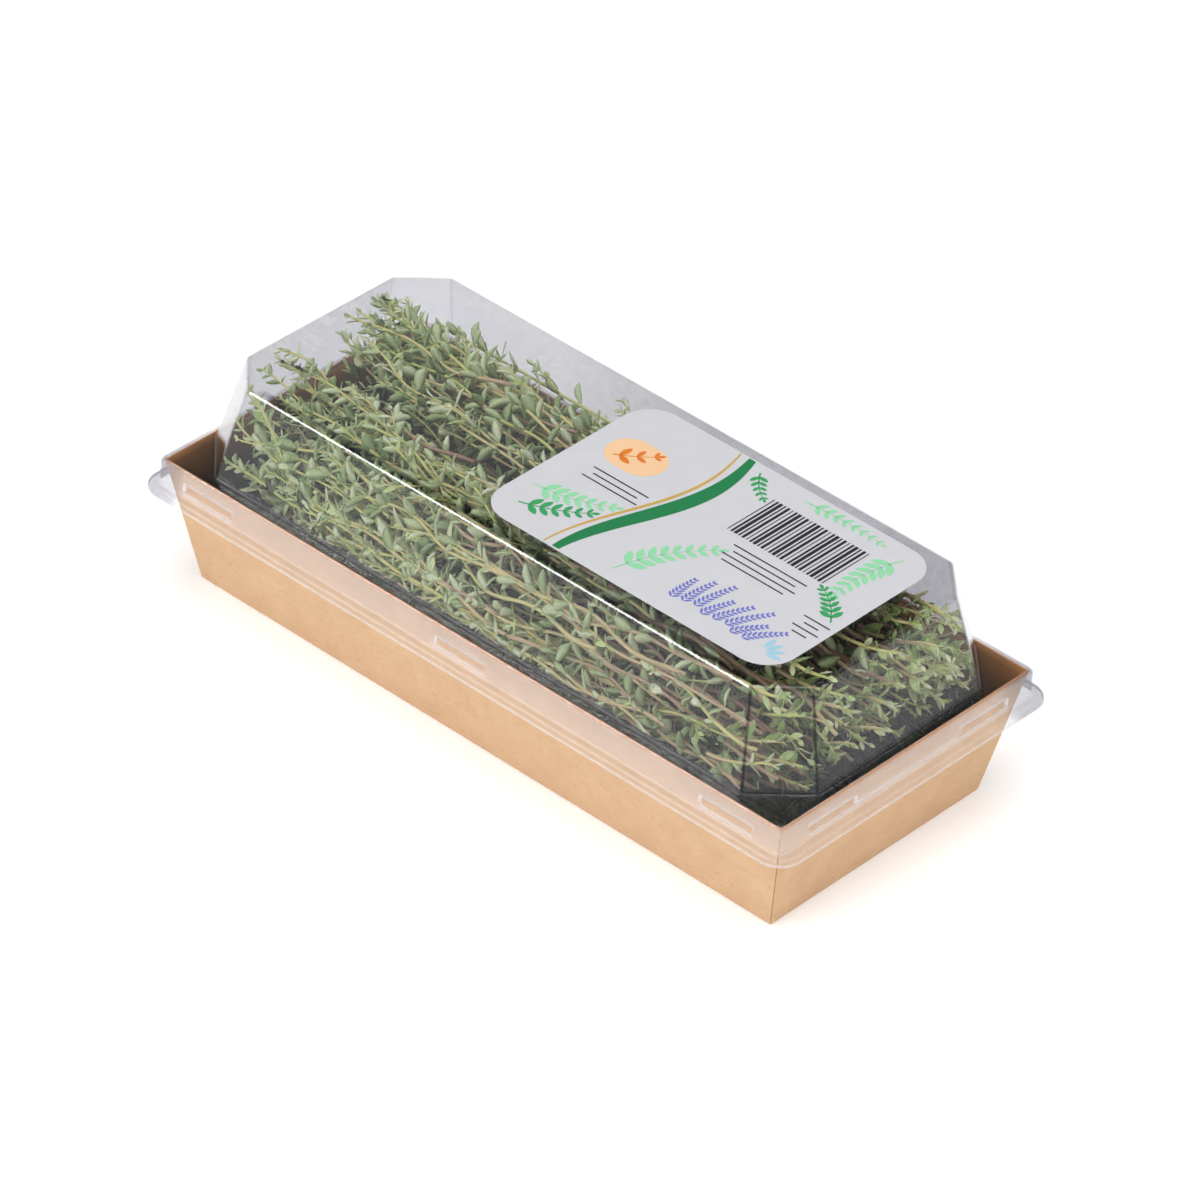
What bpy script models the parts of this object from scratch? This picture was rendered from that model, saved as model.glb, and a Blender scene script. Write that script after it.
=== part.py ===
"""Thyme sprigs packed lengthwise in a tapered kraft tray, under a clear press-on lid with a paper label.

The tray stands on z = 0 with the middle of its bottom at the origin. +X runs along the long side
towards the cut ends of the stems, the leafy tips point to -X, and +Z is up. Lengths below are in
millimetres and are turned to metres where a mesh is made.
"""

import math

import bmesh
import bpy
import numpy as np
from mathutils import Vector

MM = 0.001
FIT_GAP = 0.3  # between two pieces that touch

# Tray: outer faces of the folded board, straight from bottom to rim
RIM_LENGTH, RIM_WIDTH, RIM_HEIGHT = 228.6, 100.0, 40.4
FLOOR_LENGTH, FLOOR_WIDTH = 213.6, 84.6
BOARD = 0.8

# Lid: one clear sheet, measured on its outer face
SHEET = 0.5
LIP_OUT, LIP_CORNER, LIP_HEIGHT = 5.3, 7.5, 32.2  # beyond the rim, at the flange
LIP_EDGE_DROP = 1.0  # the flange ends in a short edge turned down
SKIRT_OUT, SKIRT_CORNER = 1.4, 2.4
SHOULDER = 1.8  # radius where the skirt turns over the rim
LAND_HEIGHT = RIM_HEIGHT + FIT_GAP + SHEET
DOME_LENGTH, DOME_WIDTH, DOME_CHAMFER = 223.2, 93.9, 14.2
TOP_LENGTH, TOP_WIDTH, TOP_CHAMFER = 208.3, 80.7, 11.7
TOP_HEIGHT, TOP_EDGE = 70.0, 1.6  # flat top, and the radius of its edge
TAB_LENGTH, TAB_LOW, TAB_HIGH, TAB_DEPTH, TAB_SLOPE = 19.5, 33.0, 36.4, 1.35, 0.6
LONG_SIDE_TABS = (-96.0, 0.0, 96.0)  # middles of the pressed-in tabs along X
SHORT_SIDE_TABS = (-30.5, 30.5)  # and along Y

# Label on the flat top
LABEL_LENGTH, LABEL_WIDTH, LABEL_CORNER, LABEL_THICK = 105.5, 69.0, 10.0, 0.3
LABEL_CENTRE = (39.5, 1.5)

# Pile of sprigs: layers one above the other, each with parallel lanes of its own
SEED = 41
LAYERS, LANES = 6, 6
LANE_PITCH, LAYER_PITCH, LOWEST_LANE = 12.5, 10.75, 7.3
OUTER_SWAY, INNER_SWAY = 4.0, 8.0  # how far lanes bend sideways, in the outer and the middle layers
SWAY_LENGTH, SWAY_TURN = 290.0, 1.9  # length of a whole bend, and each layer's own phase
CROWN, CROWN_WIDTH = 0.3, 42.0  # the middle lanes of each layer lie this much higher than its edges
GATHER = 0.84  # height of a lane at the cut ends, as a share of its height at the tips
CUT_END_X, TIP_X = 99.0, -101.0
TIP_STEP, TIP_SPREAD, CUT_SPREAD = 1.8, 20.0, 18.0  # tips stand back layer by layer
STEM_THICK, STEM_THIN = 1.6, 1.1  # side of the square stem, at its cut end and its tip
WHORLS, FIRST_WHORL, WHORL_STEP, WHORL_GROWTH = 6, 2.0, 10.5, 1.28
LEAF_BASE, LEAF_THICK = 1.2, 0.7
LEAF_CURL, LEAN_SPREAD = 4.0, 3.0  # degrees
# Length, width, lean from the stem, and the blade's sections as shares of its length and width
BIG_LEAF = (10.0, 4.9, 29.0, ((0.34, 0.92), (0.68, 0.82)))
SIDE_LEAF = (7.4, 3.9, 42.0, ((0.5, 1.0),))
BUD_SHARE, BUD_GROWTH = 0.66, 0.17  # the whorls nearest the tip are shorter
KEEL_SHARE = 0.35  # width of the blade's underside


def material(name, colour, roughness, transmission=0.0):
    made = bpy.data.materials.new(name)
    made.use_nodes = True
    shader = made.node_tree.nodes["Principled BSDF"]
    shader.inputs["Base Color"].default_value = (*colour, 1.0)
    shader.inputs["Roughness"].default_value = roughness
    shader.inputs["Metallic"].default_value = 0.0
    shader.inputs["Transmission Weight"].default_value = transmission
    return made


def place(name, mesh, home, finish):
    """Links a mesh, whose points are already in metres, as one named piece."""
    piece = bpy.data.objects.new(name, mesh)
    piece.data.materials.append(finish)
    home.objects.link(piece)
    return piece


def solidify(piece, thickness):
    """Gives an open surface its wall, inwards from the face that was modelled."""
    wall = piece.modifiers.new("wall", "SOLIDIFY")
    wall.thickness = thickness * MM
    wall.offset = -1.0
    wall.use_even_offset = True
    wall.use_quality_normals = True


def loft_surface(name, rings, cap_last):
    """Bands of quads between rings of equal length, with flat stretches joined into single faces."""
    mesh = bmesh.new()
    rows = [[mesh.verts.new(Vector(p) * MM) for p in ring] for ring in rings]
    count = len(rings[0])
    for low, high in zip(rows, rows[1:]):
        for i in range(count):
            j = (i + 1) % count
            mesh.faces.new((low[i], low[j], high[j], high[i]))
    if cap_last:
        mesh.faces.new(rows[-1])
    bmesh.ops.remove_doubles(mesh, verts=mesh.verts, dist=1e-6)
    bmesh.ops.dissolve_degenerate(mesh, edges=mesh.edges, dist=1e-6)
    bmesh.ops.dissolve_limit(
        mesh, angle_limit=math.radians(0.5), verts=mesh.verts, edges=mesh.edges
    )
    bmesh.ops.recalc_face_normals(mesh, faces=mesh.faces)
    made = bpy.data.meshes.new(name)
    mesh.to_mesh(made)
    mesh.free()
    return made


def build_tray(home, finish):
    """Four sloping walls and a floor of board, open at the top, with the rim cut level."""
    mesh = bmesh.new()
    bmesh.ops.create_cube(mesh, size=1.0)
    for vert in mesh.verts:
        at_rim = vert.co.z > 0
        vert.co.x *= (RIM_LENGTH if at_rim else FLOOR_LENGTH) * MM
        vert.co.y *= (RIM_WIDTH if at_rim else FLOOR_WIDTH) * MM
        vert.co.z = RIM_HEIGHT * MM if at_rim else 0.0
    top = [face for face in mesh.faces if face.normal.z > 0.9]
    bmesh.ops.delete(mesh, geom=top, context="FACES")
    bmesh.ops.solidify(mesh, geom=mesh.faces, thickness=BOARD * MM)
    for vert in mesh.verts:
        if vert.co.z > RIM_HEIGHT / 2 * MM:
            vert.co.z = RIM_HEIGHT * MM
    bmesh.ops.recalc_face_normals(mesh, faces=mesh.faces)
    made = bpy.data.meshes.new("tray")
    mesh.to_mesh(made)
    mesh.free()
    return place("tray", made, home, finish)


def side_stations(half, corner, tabs):
    """Places along one straight side, in order: its ends, and both foot and crest of each tab's ends."""
    marks = [-(half - corner)]
    for middle in tabs:
        reach = TAB_LENGTH / 2
        marks += [middle - reach, middle - reach + TAB_SLOPE]
        marks += [middle + reach - TAB_SLOPE, middle + reach]
    return marks + [half - corner]


def corner_arc(centre, radius, start, steps=3):
    """Points of a quarter circle, left out at both ends, where the sides have theirs."""
    angles = [start + math.pi / 2 * k / steps for k in range(1, steps)]
    return [
        (centre[0] + radius * math.cos(a), centre[1] + radius * math.sin(a))
        for a in angles
    ]


def skirt_ring(out, corner, height, pressed=0.0):
    """A rounded rectangle round the rim. Between the tabs' crests it is pressed in by `pressed`."""
    half_x, half_y = RIM_LENGTH / 2 + out, RIM_WIDTH / 2 + out
    long_marks = side_stations(half_x, corner, LONG_SIDE_TABS)
    short_marks = side_stations(half_y, corner, SHORT_SIDE_TABS)

    def dent(index, count):
        inside_tab = 0 < index < count - 1 and (index - 1) % 4 in (1, 2)
        return pressed if inside_tab else 0.0

    long_count, short_count = len(long_marks), len(short_marks)
    front = [(m, -half_y + dent(i, long_count)) for i, m in enumerate(long_marks)]
    right = [(half_x - dent(i, short_count), m) for i, m in enumerate(short_marks)]
    back = [(-x, -y) for x, y in front]
    left = [(-x, -y) for x, y in right]
    cx, cy = half_x - corner, half_y - corner
    flat = front + corner_arc((cx, -cy), corner, -math.pi / 2)
    flat += right + corner_arc((cx, cy), corner, 0.0)
    flat += back + corner_arc((-cx, cy), corner, math.pi / 2)
    flat += left + corner_arc((-cx, -cy), corner, math.pi)
    return [(x, y, height) for x, y in flat]


def octagon(length, width, chamfer):
    """Eight corners, each long or short side's two in order, starting at the front left."""
    x, y = length / 2, width / 2
    return [
        (-x + chamfer, -y),
        (x - chamfer, -y),
        (x, -y + chamfer),
        (x, y - chamfer),
        (x - chamfer, y),
        (-x + chamfer, y),
        (-x, y - chamfer),
        (-x, -y + chamfer),
    ]


def dome_ring(length, width, chamfer, height):
    """The octagon with as many points as a skirt ring: those between two corners lie on its side."""
    corners = octagon(length, width, chamfer)
    long_count = 2 + 4 * len(LONG_SIDE_TABS)
    short_count = 2 + 4 * len(SHORT_SIDE_TABS)
    bend_count = 2  # points of a skirt corner's arc
    ring = []
    for side in range(4):
        start, end = corners[2 * side], corners[2 * side + 1]
        after = corners[(2 * side + 2) % 8]
        count = long_count if side % 2 == 0 else short_count
        for i in range(count):
            share = i / (count - 1)
            ring.append(tuple(a + (b - a) * share for a, b in zip(start, end)))
        for k in range(1, bend_count + 1):
            share = k / (bend_count + 1)
            ring.append(tuple(a + (b - a) * share for a, b in zip(end, after)))
    return [(x, y, height) for x, y in ring]


def build_lid(home, finish):
    """Turned-down lip, flange, skirt with tabs, shoulder over the rim, land, dome and flat top."""
    foot = LIP_HEIGHT
    rings = [
        skirt_ring(LIP_OUT, LIP_CORNER, foot - LIP_EDGE_DROP),
        skirt_ring(LIP_OUT - 0.3, LIP_CORNER - 0.3, foot),
        skirt_ring(SKIRT_OUT + 0.2, SKIRT_CORNER + 0.2, foot + 0.2),
        skirt_ring(SKIRT_OUT, SKIRT_CORNER, TAB_LOW - TAB_SLOPE / 2),
        skirt_ring(SKIRT_OUT, SKIRT_CORNER, TAB_LOW + TAB_SLOPE / 2, TAB_DEPTH),
        skirt_ring(SKIRT_OUT, SKIRT_CORNER, TAB_HIGH - TAB_SLOPE, TAB_DEPTH),
        skirt_ring(SKIRT_OUT, SKIRT_CORNER, TAB_HIGH + TAB_SLOPE),
    ]
    for turn in np.radians([0.0, 30.0, 60.0, 90.0]):
        inward = SHOULDER * (1.0 - math.cos(turn))
        height = LAND_HEIGHT - SHOULDER * (1.0 - math.sin(turn))
        corner = max(SKIRT_CORNER - inward, 0.4)
        rings.append(skirt_ring(SKIRT_OUT - inward, corner, height))
    rings.append(dome_ring(DOME_LENGTH, DOME_WIDTH, DOME_CHAMFER, LAND_HEIGHT))
    slope = (DOME_WIDTH - TOP_WIDTH) / 2 / (TOP_HEIGHT - LAND_HEIGHT)
    for turn in np.radians([15.0, 50.0, 90.0]):
        drop = TOP_EDGE * (1.0 - math.sin(turn))
        inward = TOP_EDGE * (1.0 - math.cos(turn)) - slope * drop
        rings.append(
            dome_ring(
                TOP_LENGTH - 2 * inward,
                TOP_WIDTH - 2 * inward,
                TOP_CHAMFER,
                TOP_HEIGHT - drop,
            )
        )
    lid = place("lid", loft_surface("lid", rings, cap_last=True), home, finish)
    solidify(lid, SHEET)
    return lid


def build_label(home, finish):
    """A flat outline with round corners, filled and extruded by its thickness."""
    outline = bpy.data.curves.new("label_outline", "CURVE")
    outline.dimensions = "2D"
    outline.fill_mode = "BOTH"
    outline.extrude = LABEL_THICK / 2 * MM
    x, y = LABEL_LENGTH / 2 - LABEL_CORNER, LABEL_WIDTH / 2 - LABEL_CORNER
    corners = ((x, -y, -90.0), (x, y, 0.0), (-x, y, 90.0), (-x, -y, 180.0))
    points = []
    for cx, cy, start in corners:
        for turn in np.radians(start + np.linspace(0.0, 90.0, 5)):
            points.append(
                (cx + LABEL_CORNER * math.cos(turn), cy + LABEL_CORNER * math.sin(turn))
            )
    spline = outline.splines.new("POLY")
    spline.points.add(len(points) - 1)
    for point, (px, py) in zip(spline.points, points):
        point.co = (px * MM, py * MM, 0.0, 1.0)
    spline.use_cyclic_u = True
    label = bpy.data.objects.new("label", outline)
    height = TOP_HEIGHT + FIT_GAP + LABEL_THICK / 2
    label.location = Vector((*LABEL_CENTRE, height)) * MM
    outline.materials.append(finish)
    home.objects.link(label)
    return label


def stem_line(layer, lane, x):
    """The middle line of one sprig's stem at the places x.

    Lanes of a layer run side by side and sway together, by a sine with the layer's own phase. Layers
    lie a leaf's width apart at the tips and sink together towards the cut ends.
    """
    sway = OUTER_SWAY + (INNER_SWAY - OUTER_SWAY) * math.sin(math.pi * layer / (LAYERS - 1))
    y = (lane - (LANES - 1) / 2) * LANE_PITCH
    y = y + sway * np.sin(2.0 * math.pi * x / SWAY_LENGTH + SWAY_TURN * layer)
    share = np.clip((x + 40.0) / 130.0, 0.0, 1.0)
    gather = 1.0 - (1.0 - GATHER) * share * share * (3.0 - 2.0 * share)
    crown = CROWN * layer * (1.0 - (y / CROWN_WIDTH) ** 2)
    z = LOWEST_LANE + (layer * LAYER_PITCH + crown) * gather
    return np.stack([x, y, z], axis=1)


def stem_stations(length):
    """Distances from the tip of every ring of the stem: its ends, and a ring on each side of a whorl."""
    rings, step, along = [0.0], WHORL_STEP, FIRST_WHORL
    for _ in range(WHORLS):
        rings += [along - LEAF_BASE / 2, along + LEAF_BASE / 2]
        along += step
        step *= WHORL_GROWTH
    bare = length - rings[-1]
    return np.array(rings + [rings[-1] + bare * share for share in (0.5, 1.0)])


def raise_stem(mesh, line, turn):
    """A square stem, thin at its tip and thick at its cut end, closed at both."""
    ahead = np.gradient(line, axis=0)
    length = line[-1, 0] - line[0, 0]
    rows = []
    for centre, way in zip(line, ahead):
        share = (centre[0] - line[0, 0]) / length
        reach = (STEM_THIN + (STEM_THICK - STEM_THIN) * share) / math.sqrt(2.0)
        way = Vector(way).normalized()
        side = way.cross(Vector((0.0, 0.0, 1.0))).normalized()
        up = side.cross(way)
        row = []
        for corner in range(4):
            angle = turn + math.pi * (corner / 2 + 0.25)
            out = side * math.cos(angle) + up * math.sin(angle)
            row.append(mesh.verts.new((Vector(centre) + out * reach) * MM))
        rows.append(row)
    bands = []
    for low, high in zip(rows, rows[1:]):
        sides = [(low[i], high[i], high[(i + 1) % 4], low[(i + 1) % 4]) for i in range(4)]
        bands.append([mesh.faces.new(corners) for corners in sides])
    mesh.faces.new(rows[0])
    mesh.faces.new(rows[-1][::-1])
    return bands


def raise_leaf(mesh, face, tipward, shape, scale, sway):
    """Draws one face of the stem out into a leaf: neck, cross-sections of the blade, and a point.

    The blade leans from the stem by an angle that grows a little towards its tip. Its cross-section is
    a shallow trapezium, wide on the upper face and narrow under the midrib.
    """
    length, width, lean, sections = shape
    out = (face.normal - tipward * face.normal.dot(tipward)).normalized()
    across = tipward.cross(out)
    root = face.calc_center_median() / MM

    def along_leaf(share):
        bend = math.radians(lean + sway + LEAF_CURL * share)
        upper = tipward * math.sin(bend) - out * math.cos(bend)
        return (tipward * math.cos(bend) + out * math.sin(bend)) * (length * scale * share), upper

    for share, wide in sections:
        centre, upper = along_leaf(share)
        face = bmesh.ops.extrude_discrete_faces(mesh, faces=[face])["faces"][0]
        middle = face.calc_center_median()
        for vert in face.verts:
            left = math.copysign(1.0, (vert.co - middle).dot(across))
            top = math.copysign(1.0, (vert.co - middle).dot(upper))
            half = width * scale * wide / 2 * (1.0 if top > 0 else KEEL_SHARE)
            vert.co = (root + centre + across * left * half + upper * top * LEAF_THICK / 2) * MM
    point = bmesh.ops.poke(mesh, faces=[face])["verts"][0]
    point.co = (root + along_leaf(1.0)[0]) * MM


def build_sprig(number, layer, lane, random, home, finish):
    """One stem with whorls of leaves: a long pair, and between them a shorter pair from the axils."""
    tip = TIP_X + TIP_STEP * layer + TIP_SPREAD * random.uniform() ** 2
    cut = CUT_END_X - CUT_SPREAD * random.uniform()
    line = stem_line(layer, lane, tip + stem_stations(cut - tip))
    mesh = bmesh.new()
    bands = raise_stem(mesh, line, random.uniform(0.0, math.pi / 2))
    mesh.normal_update()
    for whorl in range(WHORLS):
        band = 1 + 2 * whorl
        tipward = Vector(line[band - 1] - line[band]).normalized()
        scale = min(BUD_SHARE + BUD_GROWTH * whorl, 1.0)
        for side in range(4):
            shape = BIG_LEAF if (side + whorl) % 2 == 0 else SIDE_LEAF
            sway = random.uniform(-LEAN_SPREAD, LEAN_SPREAD)
            raise_leaf(mesh, bands[band][side], tipward, shape, scale, sway)
    bmesh.ops.recalc_face_normals(mesh, faces=mesh.faces)
    name = f"sprig_{number:02d}"
    made = bpy.data.meshes.new(name)
    mesh.to_mesh(made)
    mesh.free()
    return place(name, made, home, finish)


def main():
    for old in list(bpy.data.objects):
        bpy.data.objects.remove(old)
    home = bpy.data.collections.new("thyme_pack")
    bpy.context.scene.collection.children.link(home)
    build_tray(home, material("kraft_board", (0.70, 0.42, 0.20), 0.75))
    build_lid(home, material("clear_sheet", (0.95, 0.97, 0.98), 0.08, 0.9))
    build_label(home, material("label_paper", (0.80, 0.80, 0.82), 0.45))
    random = np.random.default_rng(SEED)
    number = 0
    for layer in range(LAYERS):
        for lane in range(LANES):
            leaf_green = material(f"thyme_{number:02d}", (0.10, 0.17, 0.06), 0.6)
            build_sprig(number, layer, lane, random, home, leaf_green)
            number += 1


main()
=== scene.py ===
# %% [markdown]
# A clear-lidded tray of fresh thyme.
#
# The real object is a folded paperboard tray, kraft outside and black film inside, filled with cut thyme
# sprigs that lie lengthwise, leafy tips at one end and bare cut ends at the other. A thin clear lid clips
# over the rim, and a paper label is stuck on its flat top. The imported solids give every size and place.
# Each step below dresses one piece: a surface is worked out as whole numpy arrays, and put into a mesh.

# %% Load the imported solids
import math

import bpy
import numpy as np
from mathutils import Matrix, Vector


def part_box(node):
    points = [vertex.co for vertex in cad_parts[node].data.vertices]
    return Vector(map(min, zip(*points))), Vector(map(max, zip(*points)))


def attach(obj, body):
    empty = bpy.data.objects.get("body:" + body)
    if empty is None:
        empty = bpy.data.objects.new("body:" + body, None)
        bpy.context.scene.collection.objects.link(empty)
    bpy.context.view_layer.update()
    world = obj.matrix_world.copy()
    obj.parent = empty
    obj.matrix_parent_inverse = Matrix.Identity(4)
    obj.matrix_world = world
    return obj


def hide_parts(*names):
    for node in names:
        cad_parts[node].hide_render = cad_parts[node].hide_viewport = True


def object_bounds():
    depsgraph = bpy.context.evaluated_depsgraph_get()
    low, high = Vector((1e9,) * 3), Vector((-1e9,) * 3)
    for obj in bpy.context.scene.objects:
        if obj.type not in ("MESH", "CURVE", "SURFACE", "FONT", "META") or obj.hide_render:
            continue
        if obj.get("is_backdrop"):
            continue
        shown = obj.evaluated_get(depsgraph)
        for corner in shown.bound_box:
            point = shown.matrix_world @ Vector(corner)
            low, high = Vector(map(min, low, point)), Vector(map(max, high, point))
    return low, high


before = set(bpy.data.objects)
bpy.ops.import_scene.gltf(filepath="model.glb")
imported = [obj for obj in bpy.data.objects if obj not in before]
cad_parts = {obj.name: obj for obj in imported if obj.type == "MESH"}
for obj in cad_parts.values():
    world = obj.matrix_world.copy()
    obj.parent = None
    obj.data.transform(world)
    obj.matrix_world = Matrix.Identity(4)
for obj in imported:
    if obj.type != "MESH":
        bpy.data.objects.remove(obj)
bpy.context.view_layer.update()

MM = 0.001  # the arrays below are in millimetres, and a mesh is in metres

# %% [markdown]
# From arrays to a mesh.
#
# A piece is a table of points and a few tables of faces. Blender takes both in one go with foreach_set,
# which is far quicker than adding points one by one. A number kept at every point, such as a leaf's tone,
# becomes an attribute that the material can read, so one material serves thousands of leaves.

# %% Mesh helpers
def grid_faces(rows, columns):
    """Four-sided faces of a grid that is closed round its columns. A point's number is its row times the
    number of columns, plus its column."""
    row, column = np.meshgrid(np.arange(rows - 1), np.arange(columns), indexing="ij")
    after = (column + 1) % columns
    corners = (row * columns + column, row * columns + after)
    return np.stack([*corners, corners[1] + columns, corners[0] + columns], axis=-1).reshape(-1, 4)


def fan_faces(ring, pole, backwards=False):
    """Triangles that close a ring of point numbers on one pole point."""
    after = np.roll(ring, -1)
    pair = (after, ring) if backwards else (ring, after)
    return np.stack([*pair, np.full_like(ring, pole)], axis=-1)


def make_piece(name, points, faces, finishes, marks=None, uv=None, face_finish=None):
    """One smooth mesh object from arrays. Points in millimetres become metres, each table in faces has a
    row a face, each array in marks is a number at every point, and face_finish picks the material."""
    corners = np.concatenate([table.ravel() for table in faces])
    sizes = np.concatenate([np.full(len(table), table.shape[1]) for table in faces])
    mesh = bpy.data.meshes.new(name)
    mesh.vertices.add(len(points))
    mesh.vertices.foreach_set("co", (points * MM).astype(np.float32).ravel())
    mesh.loops.add(len(corners))
    mesh.loops.foreach_set("vertex_index", corners.astype(np.int32))
    mesh.polygons.add(len(sizes))
    mesh.polygons.foreach_set("loop_start", (np.cumsum(sizes) - sizes).astype(np.int32))
    if face_finish is not None:
        mesh.polygons.foreach_set("material_index", face_finish.astype(np.int32))
    mesh.update(calc_edges=True)
    for mark, values in (marks or {}).items():
        layer = mesh.attributes.new(mark, "FLOAT", "POINT")
        layer.data.foreach_set("value", values.astype(np.float32))
    if uv is not None:
        layer = mesh.uv_layers.new(name="UVMap")
        layer.data.foreach_set("uv", uv[corners].astype(np.float32).ravel())
    for finish in finishes:
        mesh.materials.append(finish)
    piece = bpy.data.objects.new(name, mesh)
    bpy.context.scene.collection.objects.link(piece)
    return piece


def dress(piece, slot, *nodes):
    """The piece moves with the only body and stands for the named solids, which are hidden. The slot is not
    used.
    """
    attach(piece, "root")
    if nodes:
        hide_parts(*nodes)
    return piece


# %% [markdown]
# Colours and node graphs.
#
# Screen colours are sRGB hex values. A renderer adds light in linear numbers, so one function turns the
# first into the second. Another adds a node with its settings and links, and a few short ones name the
# kinds that come again and again, so that a material reads as a short list of steps.

# %% Colour and node helpers
def linear(code):
    """Linear RGBA of an sRGB hex code: a straight part near black, then a power of 2.4."""
    share = np.array([int(code[i:i + 2], 16) for i in (1, 3, 5)]) / 255.0
    value = np.where(share <= 0.04045, share / 12.92, ((share + 0.055) / 1.055) ** 2.4)
    return (*value.tolist(), 1.0)


def new_material(name):
    """An empty material, and the output that its graph ends in."""
    material = bpy.data.materials.new(name)
    material.use_nodes = True
    material.node_tree.nodes.clear()
    return material, material.node_tree.nodes.new("ShaderNodeOutputMaterial")


def add(end, kind, settings=None, **values):
    """Adds a node to the graph that `end` belongs to. settings are the node's own options; each value goes
    to the input of that name (spaces as underscores) or number (as _0), as a constant or as a link."""
    tree = end.id_data
    node = tree.nodes.new("ShaderNode" + kind)
    for option, value in (settings or {}).items():
        setattr(node, option, value)
    for key, value in values.items():
        socket = node.inputs[int(key[1:])] if key[0] == "_" else node.inputs[key.replace("_", " ")]
        if isinstance(value, bpy.types.NodeSocket):
            tree.links.new(value, socket)
        else:
            socket.default_value = value
    return node


def ramp(end, factor, *stops):
    """A colour ramp through (place, hex colour) stops."""
    node = add(end, "ValToRGB", Fac=factor)
    elements = node.color_ramp.elements
    while len(elements) < len(stops):
        elements.new(0.5)
    for element, (place, code) in zip(elements, stops):
        element.position = place
        element.color = linear(code)
    return node.outputs["Color"]


def mark(end, name):
    """The number of that name kept at every point of the mesh."""
    return add(end, "Attribute", {"attribute_name": name}).outputs["Fac"]


def noise(end, place, size, detail, roughness=0.5):
    """Cloudy noise from 0 to 1 whose patches are about `size` millimetres across."""
    return add(end, "TexNoise", Vector=place, Scale=1 / (size * MM), Detail=detail,
               Roughness=roughness).outputs["Fac"]


def calculate(end, operation, *values):
    """The result of one operation on up to three values."""
    inputs = {f"_{number}": value for number, value in enumerate(values)}
    return add(end, "Math", {"operation": operation}, **inputs).outputs[0]


def spread(end, value, low, high, at_low=0.0, at_high=1.0):
    """A straight line from `at_low` at the low value to `at_high` at the high one, level beyond both."""
    return add(end, "MapRange", Value=value, From_Min=low, From_Max=high, To_Min=at_low,
               To_Max=at_high).outputs[0]


def mix(end, share, first, second, way="MIX"):
    """Two colours mixed by a share of the second."""
    return add(end, "MixRGB", {"blend_type": way}, Fac=share, Color1=first, Color2=second).outputs[0]


def raised(end, height, strength, depth):
    """The surface's direction, tilted as if the height stood out by that depth in millimetres."""
    return add(end, "Bump", Strength=strength, Distance=depth * MM, Height=height).outputs[0]


def finish_with(end, shader):
    """Links a shader to the material's surface."""
    end.id_data.links.new(shader.outputs[0], end.inputs["Surface"])


# %% [markdown]
# The camera.
#
# The pack was seen from 41 degrees right of its front and 36 degrees up, from two metres, through a very
# long lens, so its edges stay almost parallel. The camera rolls three degrees. Two small slides in the
# picture plane put the pack where it stands in the frame.

# %% Camera
VIEW_TURN, VIEW_RISE, VIEW_ROLL = math.radians(40.957), math.radians(36.399), math.radians(3.307)
VIEW_DISTANCE, VIEW_LENS, SENSOR = 2040.165, 222.75, 36.0
SLIDE_RIGHT, SLIDE_UP = 4.427, 22.396

back = Vector((
    math.sin(VIEW_TURN) * math.cos(VIEW_RISE),
    -math.cos(VIEW_TURN) * math.cos(VIEW_RISE),
    math.sin(VIEW_RISE),
))
level = Vector((math.cos(VIEW_TURN), math.sin(VIEW_TURN), 0.0))
upright = back.cross(level)
right = level * math.cos(VIEW_ROLL) + upright * math.sin(VIEW_ROLL)
up = upright * math.cos(VIEW_ROLL) - level * math.sin(VIEW_ROLL)
spot = (back * VIEW_DISTANCE + right * SLIDE_RIGHT + up * SLIDE_UP) * MM

lens = bpy.data.cameras.new("camera")
lens.lens, lens.sensor_width, lens.sensor_fit = VIEW_LENS, SENSOR, "HORIZONTAL"
lens.clip_start, lens.clip_end = 0.05, 20.0
camera = bpy.data.objects.new("camera", lens)
camera.matrix_world = Matrix.Translation(spot) @ Matrix((right, up, back)).transposed().to_4x4()
bpy.context.scene.collection.objects.link(camera)
bpy.context.scene.camera = camera
print("camera at", [round(v, 3) for v in spot])

# %% [markdown]
# Studio light.
#
# Clear plastic is seen only by what it reflects. The front and the end of the lid mirror the white floor,
# which lays a pale veil over them. The flat top mirrors the room high up behind the pack, so the room is
# dark grey there and pale low down. A broad light overhead and smaller ones at the front and at the right
# end light the pack. The floor is white paper exposed to pure white, so it glows a little of its own,
# which keeps the shadow on it faint.

# %% World, floor and lights
scene = bpy.context.scene
scene.view_settings.view_transform = "Standard"
scene.cycles.max_bounces = 40  # a ray may pass the clear sheet many times
scene.cycles.transparent_max_bounces = 40
scene.cycles.diffuse_bounces = 4
scene.cycles.glossy_bounces = 4

world = bpy.data.worlds.new("studio")
world.use_nodes = True
world.node_tree.nodes.clear()
sky = world.node_tree.nodes.new("ShaderNodeOutputWorld")
direction = add(sky, "TexCoord").outputs["Generated"]
height = add(sky, "SeparateXYZ", _0=direction).outputs["Z"]
shade = ramp(sky, height, (0.0, "#E6E6E8"), (0.12, "#D8D8DA"), (0.36, "#38383A"), (1.0, "#38383A"))
finish_with(sky, add(sky, "Background", Color=shade, Strength=1.0))
scene.world = world

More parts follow.
